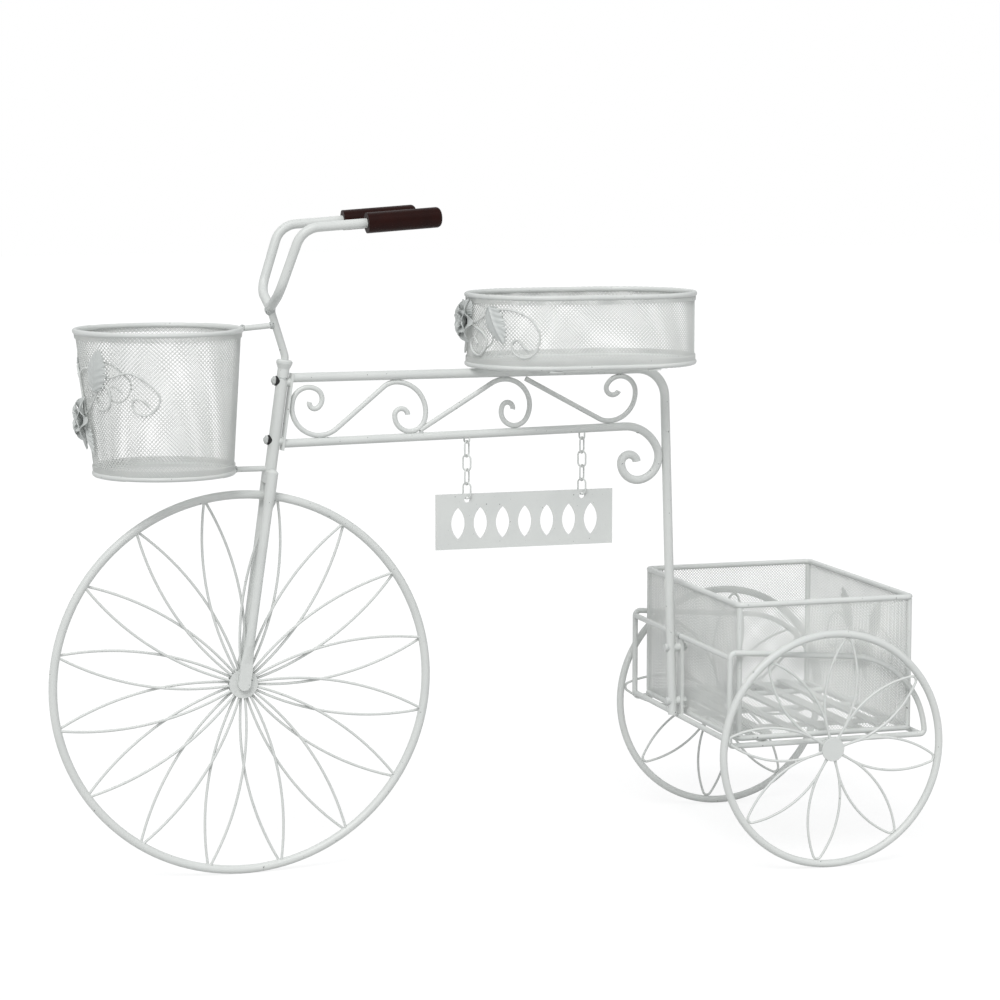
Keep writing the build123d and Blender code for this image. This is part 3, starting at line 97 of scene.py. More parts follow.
class Tint(Enum):
    """Colours of the real finishes, as sRGB hex, but for the pressed sheet's, which is the coat darkened as
    painted shade.
    """

    COAT = "#D8DAD7"
    COAT_SHADE = "#CBCECC"
    COAT_FLECK = "#6A6E6C"
    MESH = "#E9EAE7"
    NUT = "#BFC1BF"
    SCALE = "#A9ADAB"
    # The white coat darkened: painted shade on the pressed leaves and roses.
    PRESSED = "#BBBFBD"
    GRIP = "#2C0C06"
    GRIP_EDGE = "#140402"
    # Black of the rubber rings, also the near-black of the painted-shadow disc behind each rose.
    RUBBER = "#141414"
    PAPER = "#FFFFFF"


class Part(Enum):
    """The rigid bodies that the dressed pieces ride on."""

    STAND = "stand"
    REAR_BASKET = "rear_basket"


class Slot(Enum):
    """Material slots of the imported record."""

    COAT = "coat"
    MESH = "mesh"
    FASTENER = "fastener"
    GRIP = "grip"
    RUBBER = "rubber"


class Crease(Enum):
    """Angles in degrees past which an edge stays sharp."""

    LEAF = 35.0
    ROD = 50.0
    ROSE = 55.0
    BEAD = 60.0


def linear(tint: Tint) -> tuple[float, float, float, float]:
    """Turn an sRGB hex colour to the linear colour that shaders take.

    Args:
        tint: The colour.

    Returns:
        Red, green, blue and alpha.
    """
    parts = [int(tint.value[i:i + 2], 16) / 255 for i in (1, 3, 5)]
    red, green, blue = [
        c / SRGB_FOOT if c <= SRGB_KNEE else ((c + SRGB_LIFT) / (1 + SRGB_LIFT)) ** SRGB_POWER
        for c in parts]
    return red, green, blue, 1.0


def add_node(tree: bpy.types.NodeTree, kind: str, settings: dict[str | int, object] | None = None,
             links: dict[str | int, bpy.types.NodeSocket] | None = None) -> bpy.types.Node:
    """Add a shader node with its settings and its incoming links.

    Args:
        tree: The material's node tree.
        kind: The node's type name.
        settings: Attributes, or input sockets by name or number, with their values.
        links: Input sockets by name or number, each with the output socket that feeds it.

    Returns:
        The new node.
    """
    node = tree.nodes.new(kind)
    for name, value in (settings or {}).items():
        if isinstance(name, str) and hasattr(node, name):
            setattr(node, name, value)
        else:
            node.inputs[name].default_value = value
    for name, output in (links or {}).items():
        tree.links.new(output, node.inputs[name])
    return node


def bare_material(name: str) -> tuple[bpy.types.Material, bpy.types.NodeTree, bpy.types.Node]:
    """Make a material that holds only a Principled shader.

    Args:
        name: The material's name.

    Returns:
        The material, its node tree and its shader.
    """
    material = bpy.data.materials.new(name)
    material.use_nodes = True
    tree = material.node_tree
    tree.nodes.clear()
    shader = add_node(tree, "ShaderNodeBsdfPrincipled")
    add_node(tree, "ShaderNodeOutputMaterial", links={"Surface": shader.outputs["BSDF"]})
    return material, tree, shader


@dataclass(frozen=True)
class PowderCoat:
    """Polyester powder coat, baked on steel: satin, faintly pebbled, with dark pits near welds."""

    name: str
    tint: Tint
    shade: Tint = Tint.COAT_SHADE
    fleck: Tint = Tint.COAT_FLECK
    pebble_mm: float = 1.6
    pebble_rise_mm: float = 0.2
    pebble_strength: float = 0.25
    pit_mm: float = 3.0
    pit_share: float = 0.25
    pit_edge: float = 0.05
    drift_mm: float = 45.0
    roughness: float = 0.42
    smoother: float = 0.06
    rougher: float = 0.08

    def material(self) -> bpy.types.Material:
        """Build the finish.

        Returns:
            The material.
        """
        material, tree, shader = bare_material(self.name)
        where = add_node(tree, "ShaderNodeTexCoord").outputs["Object"]
        drift = add_node(tree, "ShaderNodeTexNoise", {"Scale": 1 / (self.drift_mm * MM), "Detail": 3.0},
                         {"Vector": where})
        body = add_node(tree, "ShaderNodeMix",
                        {"data_type": "RGBA", MIX_FIRST: linear(self.tint), MIX_SECOND: linear(self.shade)},
                        {MIX_SHARE: drift.outputs["Fac"]})
        # Pits are where the powder missed a weld's spatter: few, small and nearly black.
        pits = add_node(tree, "ShaderNodeTexNoise", {"Scale": 1 / (self.pit_mm * MM), "Detail": 1.0},
                        {"Vector": where})
        ramp = add_node(tree, "ShaderNodeMapRange",
                        {"From Min": self.pit_share, "From Max": self.pit_share - self.pit_edge},
                        {"Value": pits.outputs["Fac"]})
        spotted = add_node(tree, "ShaderNodeMix", {"data_type": "RGBA", MIX_SECOND: linear(self.fleck)},
                           {MIX_SHARE: ramp.outputs["Result"], MIX_FIRST: body.outputs[MIX_RESULT]})
        tree.links.new(spotted.outputs[MIX_RESULT], shader.inputs["Base Color"])
        # Orange peel of a baked powder, from one bump to the next.
        peel = add_node(tree, "ShaderNodeTexNoise", {"Scale": 1 / (self.pebble_mm * MM), "Detail": 2.0},
                        {"Vector": where})
        bump = add_node(tree, "ShaderNodeBump",
                        {"Strength": self.pebble_strength, "Distance": self.pebble_rise_mm * MM},
                        {"Height": peel.outputs["Fac"]})
        tree.links.new(bump.outputs["Normal"], shader.inputs["Normal"])
        gloss = add_node(tree, "ShaderNodeMapRange",
                         {"To Min": self.roughness - self.smoother, "To Max": self.roughness + self.rougher},
                         {"Value": drift.outputs["Fac"]})
        tree.links.new(gloss.outputs["Result"], shader.inputs["Roughness"])
        return material


@dataclass(frozen=True)
class MouldedGrip:
    """Moulded vinyl of the handlebar grips: near black with a brown cast and a soft gloss."""

    name: str
    tint: Tint
    edge: Tint
    cloud_mm: float = 14.0
    grain_mm: float = 0.9
    grain_rise_mm: float = 0.2
    grain_strength: float = 0.2
    roughness: float = 0.45
    shine: float = 0.13

    def material(self) -> bpy.types.Material:
        """Build the finish.

        Returns:
            The material.
        """
        material, tree, shader = bare_material(self.name)
        where = add_node(tree, "ShaderNodeTexCoord").outputs["Object"]
        cloud = add_node(tree, "ShaderNodeTexNoise", {"Scale": 1 / (self.cloud_mm * MM), "Detail": 4.0},
                         {"Vector": where})
        mix = add_node(tree, "ShaderNodeMix",
                       {"data_type": "RGBA", MIX_FIRST: linear(self.edge), MIX_SECOND: linear(self.tint)},
                       {MIX_SHARE: cloud.outputs["Fac"]})
        tree.links.new(mix.outputs[MIX_RESULT], shader.inputs["Base Color"])
        grain = add_node(tree, "ShaderNodeTexNoise", {"Scale": 1 / (self.grain_mm * MM), "Detail": 2.0},
                         {"Vector": where})
        bump = add_node(tree, "ShaderNodeBump",
                        {"Strength": self.grain_strength, "Distance": self.grain_rise_mm * MM},
                        {"Height": grain.outputs["Fac"]})
        tree.links.new(bump.outputs["Normal"], shader.inputs["Normal"])
        shader.inputs["Roughness"].default_value = self.roughness
        shader.inputs["Specular IOR Level"].default_value = self.shine
        return material


class Finishes:
    """Every finish of the stand, built once."""

    def __init__(self) -> None:
        coat = PowderCoat("white_powder_coat", Tint.COAT)
        mesh = PowderCoat("mesh_powder_coat", Tint.MESH, pit_share=0.22)
        nuts = PowderCoat("coated_zinc_nuts", Tint.NUT, pit_share=0.30, roughness=0.34)
        rubber = PowderCoat("black_rubber_rings", Tint.RUBBER, Tint.RUBBER, Tint.RUBBER, roughness=0.6)
        self.welded = PowderCoat("powder_coat_over_weld_scale", Tint.SCALE, pit_mm=1.6, pit_share=0.40,
                                 drift_mm=4.0).material()
        # The pressed leaves and roses take the coat darkened, as painted shade over their relief.
        self.pressed = PowderCoat("pressed_sheet_painted_shade", Tint.PRESSED, pit_share=0.24, drift_mm=12.0,
                                  roughness=0.38).material()
        # Near-black disc behind each rose: painted shadow standing in for the shade between its petals.
        self.shadow_fill = PowderCoat("painted_petal_shadow", Tint.RUBBER, Tint.RUBBER, Tint.RUBBER,
                               roughness=0.7).material()
        grips = MouldedGrip("moulded_vinyl_grips", Tint.GRIP, Tint.GRIP_EDGE)
        self.by_slot = {
            Slot.COAT: coat.material(),
            Slot.MESH: mesh.material(),
            Slot.FASTENER: nuts.material(),
            Slot.RUBBER: rubber.material(),
            Slot.GRIP: grips.material(),
        }

    def dress(self, piece: Piece, slot: Slot) -> None:
        """Give a piece the finish of a slot.

        Args:
            piece: The object to dress.
            slot: The record's material slot.
        """
        piece.data.materials.clear()
        piece.data.materials.append(self.by_slot[slot])


def pick(piece: Piece) -> None:
    """Select one object alone and make it active."""
    bpy.ops.object.select_all(action="DESELECT")
    piece.select_set(True)
    bpy.context.view_layer.objects.active = piece


def finish_with(piece: Piece, kind: str, **settings: object) -> None:
    """Add a modifier and apply it.

    Args:
        piece: The object to change.
        kind: The modifier's type name.
        settings: The modifier's settings.
    """
    pick(piece)
    modifier = piece.modifiers.new(kind.title(), kind)
    for name, value in settings.items():
        setattr(modifier, name, value)
    bpy.ops.object.modifier_apply(modifier=modifier.name)


def reshape(piece: Piece, rule: Callable[[Vector], Vector]) -> None:
    """Move every vertex of a piece by a rule, as an edit-mode transform would.

    Args:
        piece: The mesh object.
        rule: Gives the new place of an old one.
    """
    for vertex in piece.data.vertices:
        vertex.co = rule(vertex.co)
    piece.data.update()


def in_edit(piece: Piece, work: Callable[[], object]) -> None:
    """Run edit-mode operators on a whole piece.

    Args:
        piece: The mesh object.
        work: Calls the operators, with everything selected.
    """
    pick(piece)
    bpy.ops.object.mode_set(mode="EDIT")
    bpy.ops.mesh.select_all(action="SELECT")
    work()
    bpy.ops.object.mode_set(mode="OBJECT")


def settle(piece: Piece) -> None:
    """Bake an object's own place into its mesh."""
    pick(piece)
    bpy.ops.object.transform_apply(location=True, rotation=True, scale=True)


def face_out(piece: Piece) -> None:
    """Merge doubles and turn every face outwards."""
    def work() -> None:
        """Merge, then recalculate."""
        bpy.ops.mesh.remove_doubles(threshold=SAME_SPOT)
        bpy.ops.mesh.normals_make_consistent(inside=False)
    in_edit(piece, work)


def soften(piece: Piece, crease: Crease) -> None:
    """Shade smooth, apart from edges sharper than a crease."""
    pick(piece)
    bpy.ops.object.shade_smooth_by_angle(angle=math.radians(crease.value))


def gather(pieces: Sequence[Piece], name: str) -> Piece:
    """Join objects into one named piece.

    Args:
        pieces: The objects.
        name: The joined piece's name.

    Returns:
        The joined piece.
    """
    pick(pieces[0])
    for piece in pieces:
        piece.select_set(True)
    if len(pieces) > 1:
        bpy.ops.object.join()
    joined = bpy.context.view_layer.objects.active
    joined.name = name
    joined.data.name = name
    return joined


def bar(place: Spot, size: Spot) -> Piece:
    """Model a square bar.

    Args:
        place: Its middle.
        size: Its three sizes.

    Returns:
        The bar.
    """
    bpy.ops.mesh.primitive_cube_add(size=1, location=place)
    block = bpy.context.active_object
    block.scale = size
    settle(block)
    return block


def repeat(piece: Piece, count: int, spacing: float) -> None:
    """Repeat a piece along X."""
    finish_with(piece, "ARRAY", count=count, use_relative_offset=False, use_constant_offset=True,
                constant_offset_displace=(spacing, 0, 0))


def smooth_places(points: Sequence[Place], step: float) -> list[Place]:
    """Places along a soft curve, a Catmull-Rom one, through the given ones.

    Args:
        points: The curve's places.
        step: About how far apart the new places are.

    Returns:
        The new places, the given ones among them.
    """
    ends = [points[0], *points, points[-1]]
    marks = [points[0]]
    for before, start, end, after in zip(ends, ends[1:], ends[2:], ends[3:]):
        count = max(1, round(math.dist(start, end) / step))
        for i in range(1, count + 1):
            t = i / count
            marks.append(tuple(
                b + 0.5 * t * (c - a + t * (2 * a - 5 * b + 4 * c - d + t * (3 * b - a - 3 * c + d)))
                for a, b, c, d in zip(before, start, end, after)))
    return marks


@dataclass
class RoundShell:
    """The tapered round basket's wall. u runs round from its front middle to the near side."""

    centre_x: float = -80.5
    base_z: float = 432.0
    base_radius: float = 71.5
    rim_x: float = -85.0
    rim_z: float = 579.0
    rim_radius: float = 85.0
    rose_z: float = 490.0

    def at(self, z: float) -> Place:
        """Centre and radius at a height."""
        share = (z - self.base_z) / (self.rim_z - self.base_z)
        return (self.centre_x + share * (self.rim_x - self.centre_x),
                self.base_radius + share * (self.rim_radius - self.base_radius))

    @property
    def perimeter(self) -> float:
        """Length round the wall at the rose's height."""
        return 2 * math.pi * self.at(self.rose_z)[1]

    def wrap(self, u: float, z: float, out: float) -> Vector:
        """Place of a point of the unrolled wall, in metres.

        Args:
            u: Distance round from the front middle.
            z: Height above the floor.
            out: Distance out of the wall's middle surface.

        Returns:
            The point.
        """
        x, radius = self.at(z)
        angle = u / self.at(self.rose_z)[1]
        reach = radius + out
        return Vector((x - reach * math.cos(angle) - MIDDLE_X, -reach * math.sin(angle), z)) * MM

    def inside(self, x: float, y: float) -> bool:
        """Whether a place of the floor lies inside the base ring."""
        return math.hypot(x - self.centre_x, y) < self.base_radius


@dataclass
class OvalShell:
    """The seat basket's upright wall, an oval of two half rounds and two straights."""

    centre_x: float = 375.5
    length: float = 249.0
    width: float = 164.0
    base_z: float = 535.7
    rim_z: float = 609.2
    rose_z: float = 582.7

    @property
    def perimeter(self) -> float:
        """Length round the wall."""
        return math.pi * self.width + 2 * (self.length - self.width)

    def wrap(self, u: float, z: float, out: float) -> Vector:
        """Place of a point of the unrolled wall, in metres.

        Args:
            u: Distance round from the front end's middle.
            z: Height above the floor.
            out: Distance out of the wall's middle surface.

        Returns:
            The point.
        """
        half, run = self.width / 2, self.length - self.width
        whole, quarter = self.perimeter, math.pi * self.width / 4
        u = (u + whole / 2) % whole - whole / 2
        side = 1 if u >= 0 else -1
        way = abs(u)
        if way < quarter:
            x = self.centre_x - run / 2 - (half + out) * math.cos(way / half)
            y = (half + out) * math.sin(way / half)
        elif way < quarter + run:
            x = self.centre_x - run / 2 + way - quarter
            y = half + out
        else:
            turn = (way - quarter - run) / half
            x = self.centre_x + run / 2 + (half + out) * math.sin(turn)
            y = (half + out) * math.cos(turn)
        return Vector((x - MIDDLE_X, -side * y, z)) * MM

    def inside(self, x: float, y: float) -> bool:
        """Whether a place of the floor lies inside the base ring."""
        run = self.length - self.width
        off = max(0.0, abs(x - self.centre_x) - run / 2)
        return math.hypot(off, y) < self.width / 2


Ring = RoundShell | OvalShell


@dataclass
class FlatShell:
    """One face of the square basket, u running along it from its middle."""

    origin: Place
    along: Place
    out_way: Place

    def wrap(self, u: float, z: float, out: float) -> Vector:
        """Place of a point of the face, in metres.

        Args:
            u: Distance along the face from its middle.
            z: Height above the floor.
            out: Distance out of the face.

        Returns:
            The point.
        """
        x = self.origin[0] + self.along[0] * u + self.out_way[0] * out
        y = self.origin[1] + self.along[1] * u + self.out_way[1] * out
        return Vector((x - MIDDLE_X, y, z)) * MM


Shell = Ring | FlatShell


@dataclass
class DiamondMesh:
    """Expanded steel mesh: two sets of slanting strands that cross in diamonds."""

    pitch: float = 3.6
    slope: float = 1.0
    strand: float = 0.54
    thick: float = 0.5
    bend_step: float = 12.0
    part_way: float = 0.3
    lap_depth: float = 2.2

    @property
    def stretch(self) -> float:
        """Length of a slanting strand for each unit of its height."""
        return math.sqrt(1 + self.slope ** 2)

    def cut(self, strand: Piece, cuts: int) -> None:
        """Cut a strand across, so that it can follow the curve of a wall.

        Args:
            strand: The strand.
            cuts: How many cuts.
        """
        pick(strand)
        bpy.ops.object.mode_set(mode="EDIT")
        bpy.context.tool_settings.mesh_select_mode = (False, True, False)
        bpy.ops.mesh.select_all(action="DESELECT")
        bpy.ops.object.mode_set(mode="OBJECT")
        for edge in strand.data.edges:
            a, b = (strand.data.vertices[i].co for i in edge.vertices)
            edge.select = a.z != b.z
        bpy.ops.object.mode_set(mode="EDIT")
        bpy.ops.mesh.subdivide(number_cuts=cuts)
        bpy.context.tool_settings.mesh_select_mode = (True, False, False)
        bpy.ops.object.mode_set(mode="OBJECT")

    def strands(self, count: int, low: float, high: float, start: float, lean: int, pitch: float,
                cuts: int) -> Piece:
        """A flat sheet of parallel strands, with X along the wall, Y out of it and Z up.

        Args:
            count: How many strands.
            low: Height of their lower ends.
            high: Height of their upper ends.
            start: Where the first one starts.
            lean: 1 or -1, the way they slant.
            pitch: Their spacing along the wall.
            cuts: Cuts along a strand, for the curve of the wall.

        Returns:
            The sheet.
        """
        sheet = bar((start, lean * self.thick * self.part_way, (low + high) / 2),
                    (self.strand * self.stretch, self.thick, high - low))
        if cuts:
            self.cut(sheet, cuts)
        repeat(sheet, count, pitch)
        reshape(sheet, lambda p: Vector((p.x + lean * (p.z - low) * self.slope, p.y, p.z)))
        return sheet

    def closed_wall(self, shell: Ring, low: float, high: float, name: str,
                    out: float = 0.0) -> Piece:
        """Mesh all round a basket.

        Args:
            shell: The wall it lies on.
            low: Height of the mesh's lower edge.
            high: Height of its upper edge.
            name: The piece's name.
            out: How far it stands out of the wall.

        Returns:
            The wall.
        """
        count = round(shell.perimeter / self.pitch)
        pitch = shell.perimeter / count
        cuts = max(1, round((high - low) * self.stretch / self.bend_step))
        sheets = [self.strands(count, low, high, 0.0, lean, pitch, cuts) for lean in (1, -1)]
        wall = gather(sheets, name)
        reshape(wall, lambda p: shell.wrap(p.x, p.z, p.y + out))
        face_out(wall)
        return wall

    def overlap(self, shell: RoundShell, low: float, high: float, span: Place, name: str) -> Piece:
        """The lap where the sheet's two ends lie on each other.

        Args:
            shell: The wall it lies on.
            low: Height of its lower edge.
            high: Height of its upper edge.
            span: Where it starts and ends round the wall.
            name: The piece's name.

        Returns:
            The lap.
        """
        lap = self.panel(span[1] - span[0], low, high, name)
        cuts = max(1, round((high - low) / self.bend_step))
        for i in range(1, cuts):
            level = low + (high - low) * i / cuts
            in_edit(lap, lambda: bpy.ops.mesh.bisect(plane_co=(0, 0, level), plane_no=(0, 0, 1)))
        middle = (span[0] + span[1]) / 2 + self.pitch / 2
        reshape(lap, lambda p: shell.wrap(middle + p.x, p.z, p.y - self.lap_depth * self.thick))
        return lap

    def panel(self, width: float, low: float, high: float, name: str) -> Piece:
        """A flat rectangle of mesh, cut off at its sides.

        Args:
            width: Its width.
            low: Height of its lower edge.
            high: Height of its upper edge.
            name: The piece's name.

        Returns:
            The panel, flat, with X along it.
        """
        rise = (high - low) * self.slope
        count = int((width + rise) / self.pitch) + 1
        sheets = []
        for lean in (1, -1):
            start = -width / 2 - rise if lean == 1 else -width / 2
            sheets.append(self.strands(count, low, high, start, lean, self.pitch, 0))
        panel = gather(sheets, name)
        for side in (1, -1):
            in_edit(panel, lambda: bpy.ops.mesh.bisect(plane_co=(side * width / 2, 0, 0), plane_no=(side, 0, 0),
                                                       use_fill=True, clear_outer=True))
        return panel

    def floor(self, shell: Ring, reach: float, name: str) -> Piece:
        """Flat mesh inside a basket's base ring.

        Args:
            shell: The basket, which says what lies inside.
            reach: A length that is longer than half the floor.
            name: The piece's name.

        Returns:
            The floor.
        """
        z, centre_x = shell.base_z, shell.centre_x
        spacing = self.pitch / DIAGONAL
        count = int(2 * reach / spacing)
        sheets = []
        for lean in (1, -1):
            sheet = bar((-reach, 0, 0), (self.strand, self.thick, 2))
            repeat(sheet, count, spacing)
            spans: list[Place] = []
            for i in range(count):
                offset = -reach + i * spacing
                hits = [t for t in range(int(-reach), int(reach))
                        if shell.inside(centre_x + (offset + lean * t) / DIAGONAL,
                                        (t - lean * offset) / DIAGONAL)]
                spans.append((min(hits), max(hits)) if hits else (0.0, 0.0))

            def lay(p: Vector) -> Vector:
                """Stretch a strand between its two ends on the ring."""
                i = max(0, min(count - 1, round((p.x + reach) / spacing)))
                first, last = spans[i]
                t = first + (last - first) * (p.z + 1) / 2
                if first == last:
                    return Vector((centre_x - MIDDLE_X, 0, z)) * MM
                x = centre_x + (p.x + lean * t) / DIAGONAL
                y = (t - lean * p.x) / DIAGONAL
                return Vector((x - MIDDLE_X, y, z + p.y * lean)) * MM
            reshape(sheet, lay)
            sheets.append(sheet)
        floor = gather(sheets, name)
        face_out(floor)
        in_edit(floor, lambda: bpy.ops.mesh.dissolve_degenerate(threshold=NO_FACE))
        return floor


@dataclass
class Hem:
    """Rod that the mesh's edge is rolled round, which leaves fine crimps on it."""

    rod: float = 3.0
    sides: int = 12
    crimp: float = 1.9
    depth: float = 0.13
    fold_pitch: float = 2.15
    fold_strand: float = 0.62
    fold_thick: float = 0.8
    fold_out: float = 1.0
    flat_radius: float = 50.0

    def ring(self, shell: Ring, z: float, name: str) -> Piece:
        """A crimped ring on a basket's wall.

        Args:
            shell: The wall that it follows.
            z: Height of the rod's middle.
            name: The piece's name.

        Returns:
            The ring.
        """
        ribs = round(shell.perimeter / self.crimp)
        bpy.ops.mesh.primitive_torus_add(major_radius=self.flat_radius, minor_radius=self.rod,
                                         major_segments=2 * ribs, minor_segments=self.sides)
        ring = bpy.context.active_object

        def lay(p: Vector) -> Vector:
            """Unroll a torus point onto the wall, pinched between crimps."""
            turn = math.atan2(p.y, p.x) / (2 * math.pi)
            pinch = 1 - self.depth * (round(turn * 2 * ribs) % 2)
            return shell.wrap(turn * shell.perimeter, z + p.z * pinch,
                              (math.hypot(p.x, p.y) - self.flat_radius) * pinch)
        reshape(ring, lay)
        ring.name = name
        face_out(ring)
        soften(ring, Crease.ROD)
        return ring

    def fold(self, shell: Ring, low: float, high: float, name: str) -> Piece:
        """The mesh's edge folded back on itself, so that it lies double and dense.

        Args:
            shell: The wall that it follows.
            low: Height of its lower edge.
            high: Height of its upper edge.
            name: The piece's name.

        Returns:
            The fold.
        """
        dense = DiamondMesh(pitch=self.fold_pitch, strand=self.fold_strand, thick=self.fold_thick)
        return dense.closed_wall(shell, low, high, name, out=self.fold_out)


@dataclass(frozen=True)
class LeafForm:
    """Proportions of a pressed leaf, whose shares run from its stalk to its tip."""

    rows: int = 72
    columns: int = 20
    teeth: int = 8
    tooth: float = 0.34
    tooth_power: int = 3
    swell: float = 0.55
    taper: float = 0.85
    peak: float = 0.391
    veins: int = 6
    vein_slant: float = 1.3
    fold: float = 0.42
    fold_fade: float = 0.3
    fold_spread: float = 0.5
    rib: float = 1.3
    rib_width: float = 1.3
    bow: float = 2.6
    bow_drop: float = 0.9
    gap: float = 0.5
    sheet: float = 0.7

    def half(self, width: float, share: float, side: float) -> float:
        """Half the leaf's width, out to its saw-toothed edge.

        Args:
            width: Its greatest width.
            share: The share of its length.
            side: The share of its half width, from -1 to 1.

        Returns:
            Half the width there.
        """
        if not 0 < share < 1:
            return 0.0
        tooth = 1 + self.tooth * ((share * self.teeth) % 1.0 - 0.5) * abs(side) ** self.tooth_power
        return width / 2 * max(0.0, share ** self.swell * (1 - share) ** self.taper / self.peak) * tooth

    def rise(self, share: float, side: float, across: float) -> float:
        """How far the sheet stands up: its bow, its midrib and the folds along its veins.

        Args:
            share: The share of its length.
            side: The share of its half width, from -1 to 1.
            across: The distance from its midrib.

        Returns:
            The height above the wires.
        """
        wave = math.asin(math.cos(2 * math.pi * (share * self.veins - abs(side) * self.vein_slant)))
        fold = self.fold * wave * (1 - share) ** self.fold_fade
        rib = self.rib * math.exp(-(across / self.rib_width) ** 2)
        bow = self.bow * math.sin(math.pi * share) * (1 - self.bow_drop * side ** 2)
        return self.gap + bow + rib + fold * abs(side) ** self.fold_spread


@dataclass(frozen=True)
class PetalForm:
    """Proportions of a cupped petal, whose shares run from its root to its edge."""

    cells: int = 8
    root: float = 0.22
    swell: float = 0.78
    swell_share: float = 0.66
    swell_power: float = 1.1
    roll_start: float = 0.55
    roll_round: float = 0.26
    notch: float = 0.10
    shoulder: float = 0.35
    cup: float = 0.34
    curl: float = 1.5
    sheet: float = 0.8

    def point(self, length: float, width: float, share: float, side: float) -> Vector:
        """Place of a point of a petal that grows from the origin along X.

        Args:
            length: The petal's length.
            width: Its width.
            share: The share of its length.
            side: The share of its half width, from -1 to 1.

        Returns:
            The point, in metres.
        """
        roll = max(0.0, share - self.roll_start) ** 2
        bulge = math.sin(math.pi * min(1.0, share * self.swell_share)) ** self.swell_power
        half = width / 2 * (self.root + self.swell * bulge)
        rounding = math.sqrt(max(0.0, 1 - roll / self.roll_round))
        x = length * (share - self.notch * side ** 2 * share)
        y = half * side * (self.shoulder + (1 - self.shoulder) * rounding)
        z = self.cup * length * side ** 2 * share - self.curl * roll * length
        return Vector((x, y, z)) * MM

    def make(self, length: float, width: float) -> Piece:
        """Model one petal.

        Args:
            length: Its length.
            width: Its width.

        Returns:
            The petal, in metres.
        """
        bpy.ops.mesh.primitive_grid_add(x_subdivisions=self.cells, y_subdivisions=self.cells, size=2)
        petal = bpy.context.active_object
        reshape(petal, lambda p: self.point(length, width, (p.x + 1) / 2, p.y))
        finish_with(petal, "SOLIDIFY", thickness=self.sheet * MM, offset=0)
        finish_with(petal, "SUBSURF", levels=1, render_levels=1)
        return petal


@dataclass(frozen=True)
class PetalRow:
    """One ring of petals: how many, their length and width, and their tilt and turn in degrees."""

    count: int
    length: float
    width: float
    tilt: float
    turn: float


@dataclass(frozen=True)
class Disc:
    """A disc on the rose's stem, metal boss or painted-shadow disc: its sides, sizes, height of its middle, and
    rounded edge.
    """

    sides: int
    radius: float
    depth: float
    height: float
    edge: float
    edge_steps: int

    def make(self) -> Piece:
        """Model the disc.

        Returns:
            The disc, in metres.
        """
        bpy.ops.mesh.primitive_cylinder_add(vertices=self.sides, radius=self.radius * MM,
                                            depth=self.depth * MM, location=(0, 0, self.height * MM))
        disc = bpy.context.active_object
        settle(disc)
        finish_with(disc, "BEVEL", width=self.edge * MM, segments=self.edge_steps)
        return disc


@dataclass(frozen=True)
class RoseForm:
    """The rose before it is laid on a basket: rows of petals round a rolled bud, on a boss."""

    rows: Sequence[PetalRow] = (
        PetalRow(5, 21.5, 21.0, 20.0, 0.0),
        PetalRow(5, 17.5, 16.0, 42.0, 36.0),
        PetalRow(3, 13.0, 12.0, 64.0, 10.0),
    )
    petal: PetalForm = PetalForm()
    boss: Disc = Disc(20, 8.0, 3.0, 1.2, 1.0, 2)
    # A near-black disc under the petals: painted shadow in the gaps between them.
    gap_shadow_disc: Disc = Disc(24, 5.6, 5.0, 3.4, 1.6, 3)
    root: float = 1.5
    lift_per_degree: float = 0.03
    wobble: float = 5.0
    wobble_step: float = 3.1
    bud_radius: float = 4.6
    bud_height: float = 7.0
    bud_sides: int = 16
    bud_rings: int = 10
    bud_stretch: float = 1.15
    swirl: float = 0.22
    swirl_waves: Place = (2, 3)
    swirl_twist: Place = (0.7, 0.9)

    def petals(self) -> list[Piece]:
        """Model every petal, each a little out of line as a hand-bent one is.

        Returns:
            The petals.
        """
        petals = []
        for row in self.rows:
            lift = self.root + self.lift_per_degree * row.tilt
            shift = Matrix.Translation(Vector((self.root, 0, lift)) * MM)
            for i in range(row.count):
                petal = self.petal.make(row.length, row.width)
                spin = Matrix.Rotation(math.radians(360 / row.count * i + row.turn), 4, "Z")
                tilt = row.tilt + self.wobble * math.sin(self.wobble_step * i)
                petal.data.transform(spin @ shift @ Matrix.Rotation(-math.radians(tilt), 4, "Y"))
                petals.append(petal)
        return petals

    def bud(self) -> Piece:
        """Model the rolled bud.

        Returns:
            The bud.
        """
        bpy.ops.mesh.primitive_uv_sphere_add(
            segments=self.bud_sides, ring_count=self.bud_rings, radius=self.bud_radius * MM,
            location=(0, 0, self.bud_height * MM))
        bud = bpy.context.active_object
        settle(bud)

        def roll(p: Vector) -> Vector:
            """Swirl a point of the bud round its middle."""
            angle = math.atan2(p.y, p.x)
            wide, deep = (angle * waves + p.z / MM * twist
                          for waves, twist in zip(self.swirl_waves, self.swirl_twist))
            return Vector((p.x * (1 + self.swirl * math.cos(wide)), p.y * (1 + self.swirl * math.sin(deep)),
                           p.z * self.bud_stretch))
        reshape(bud, roll)
        return bud


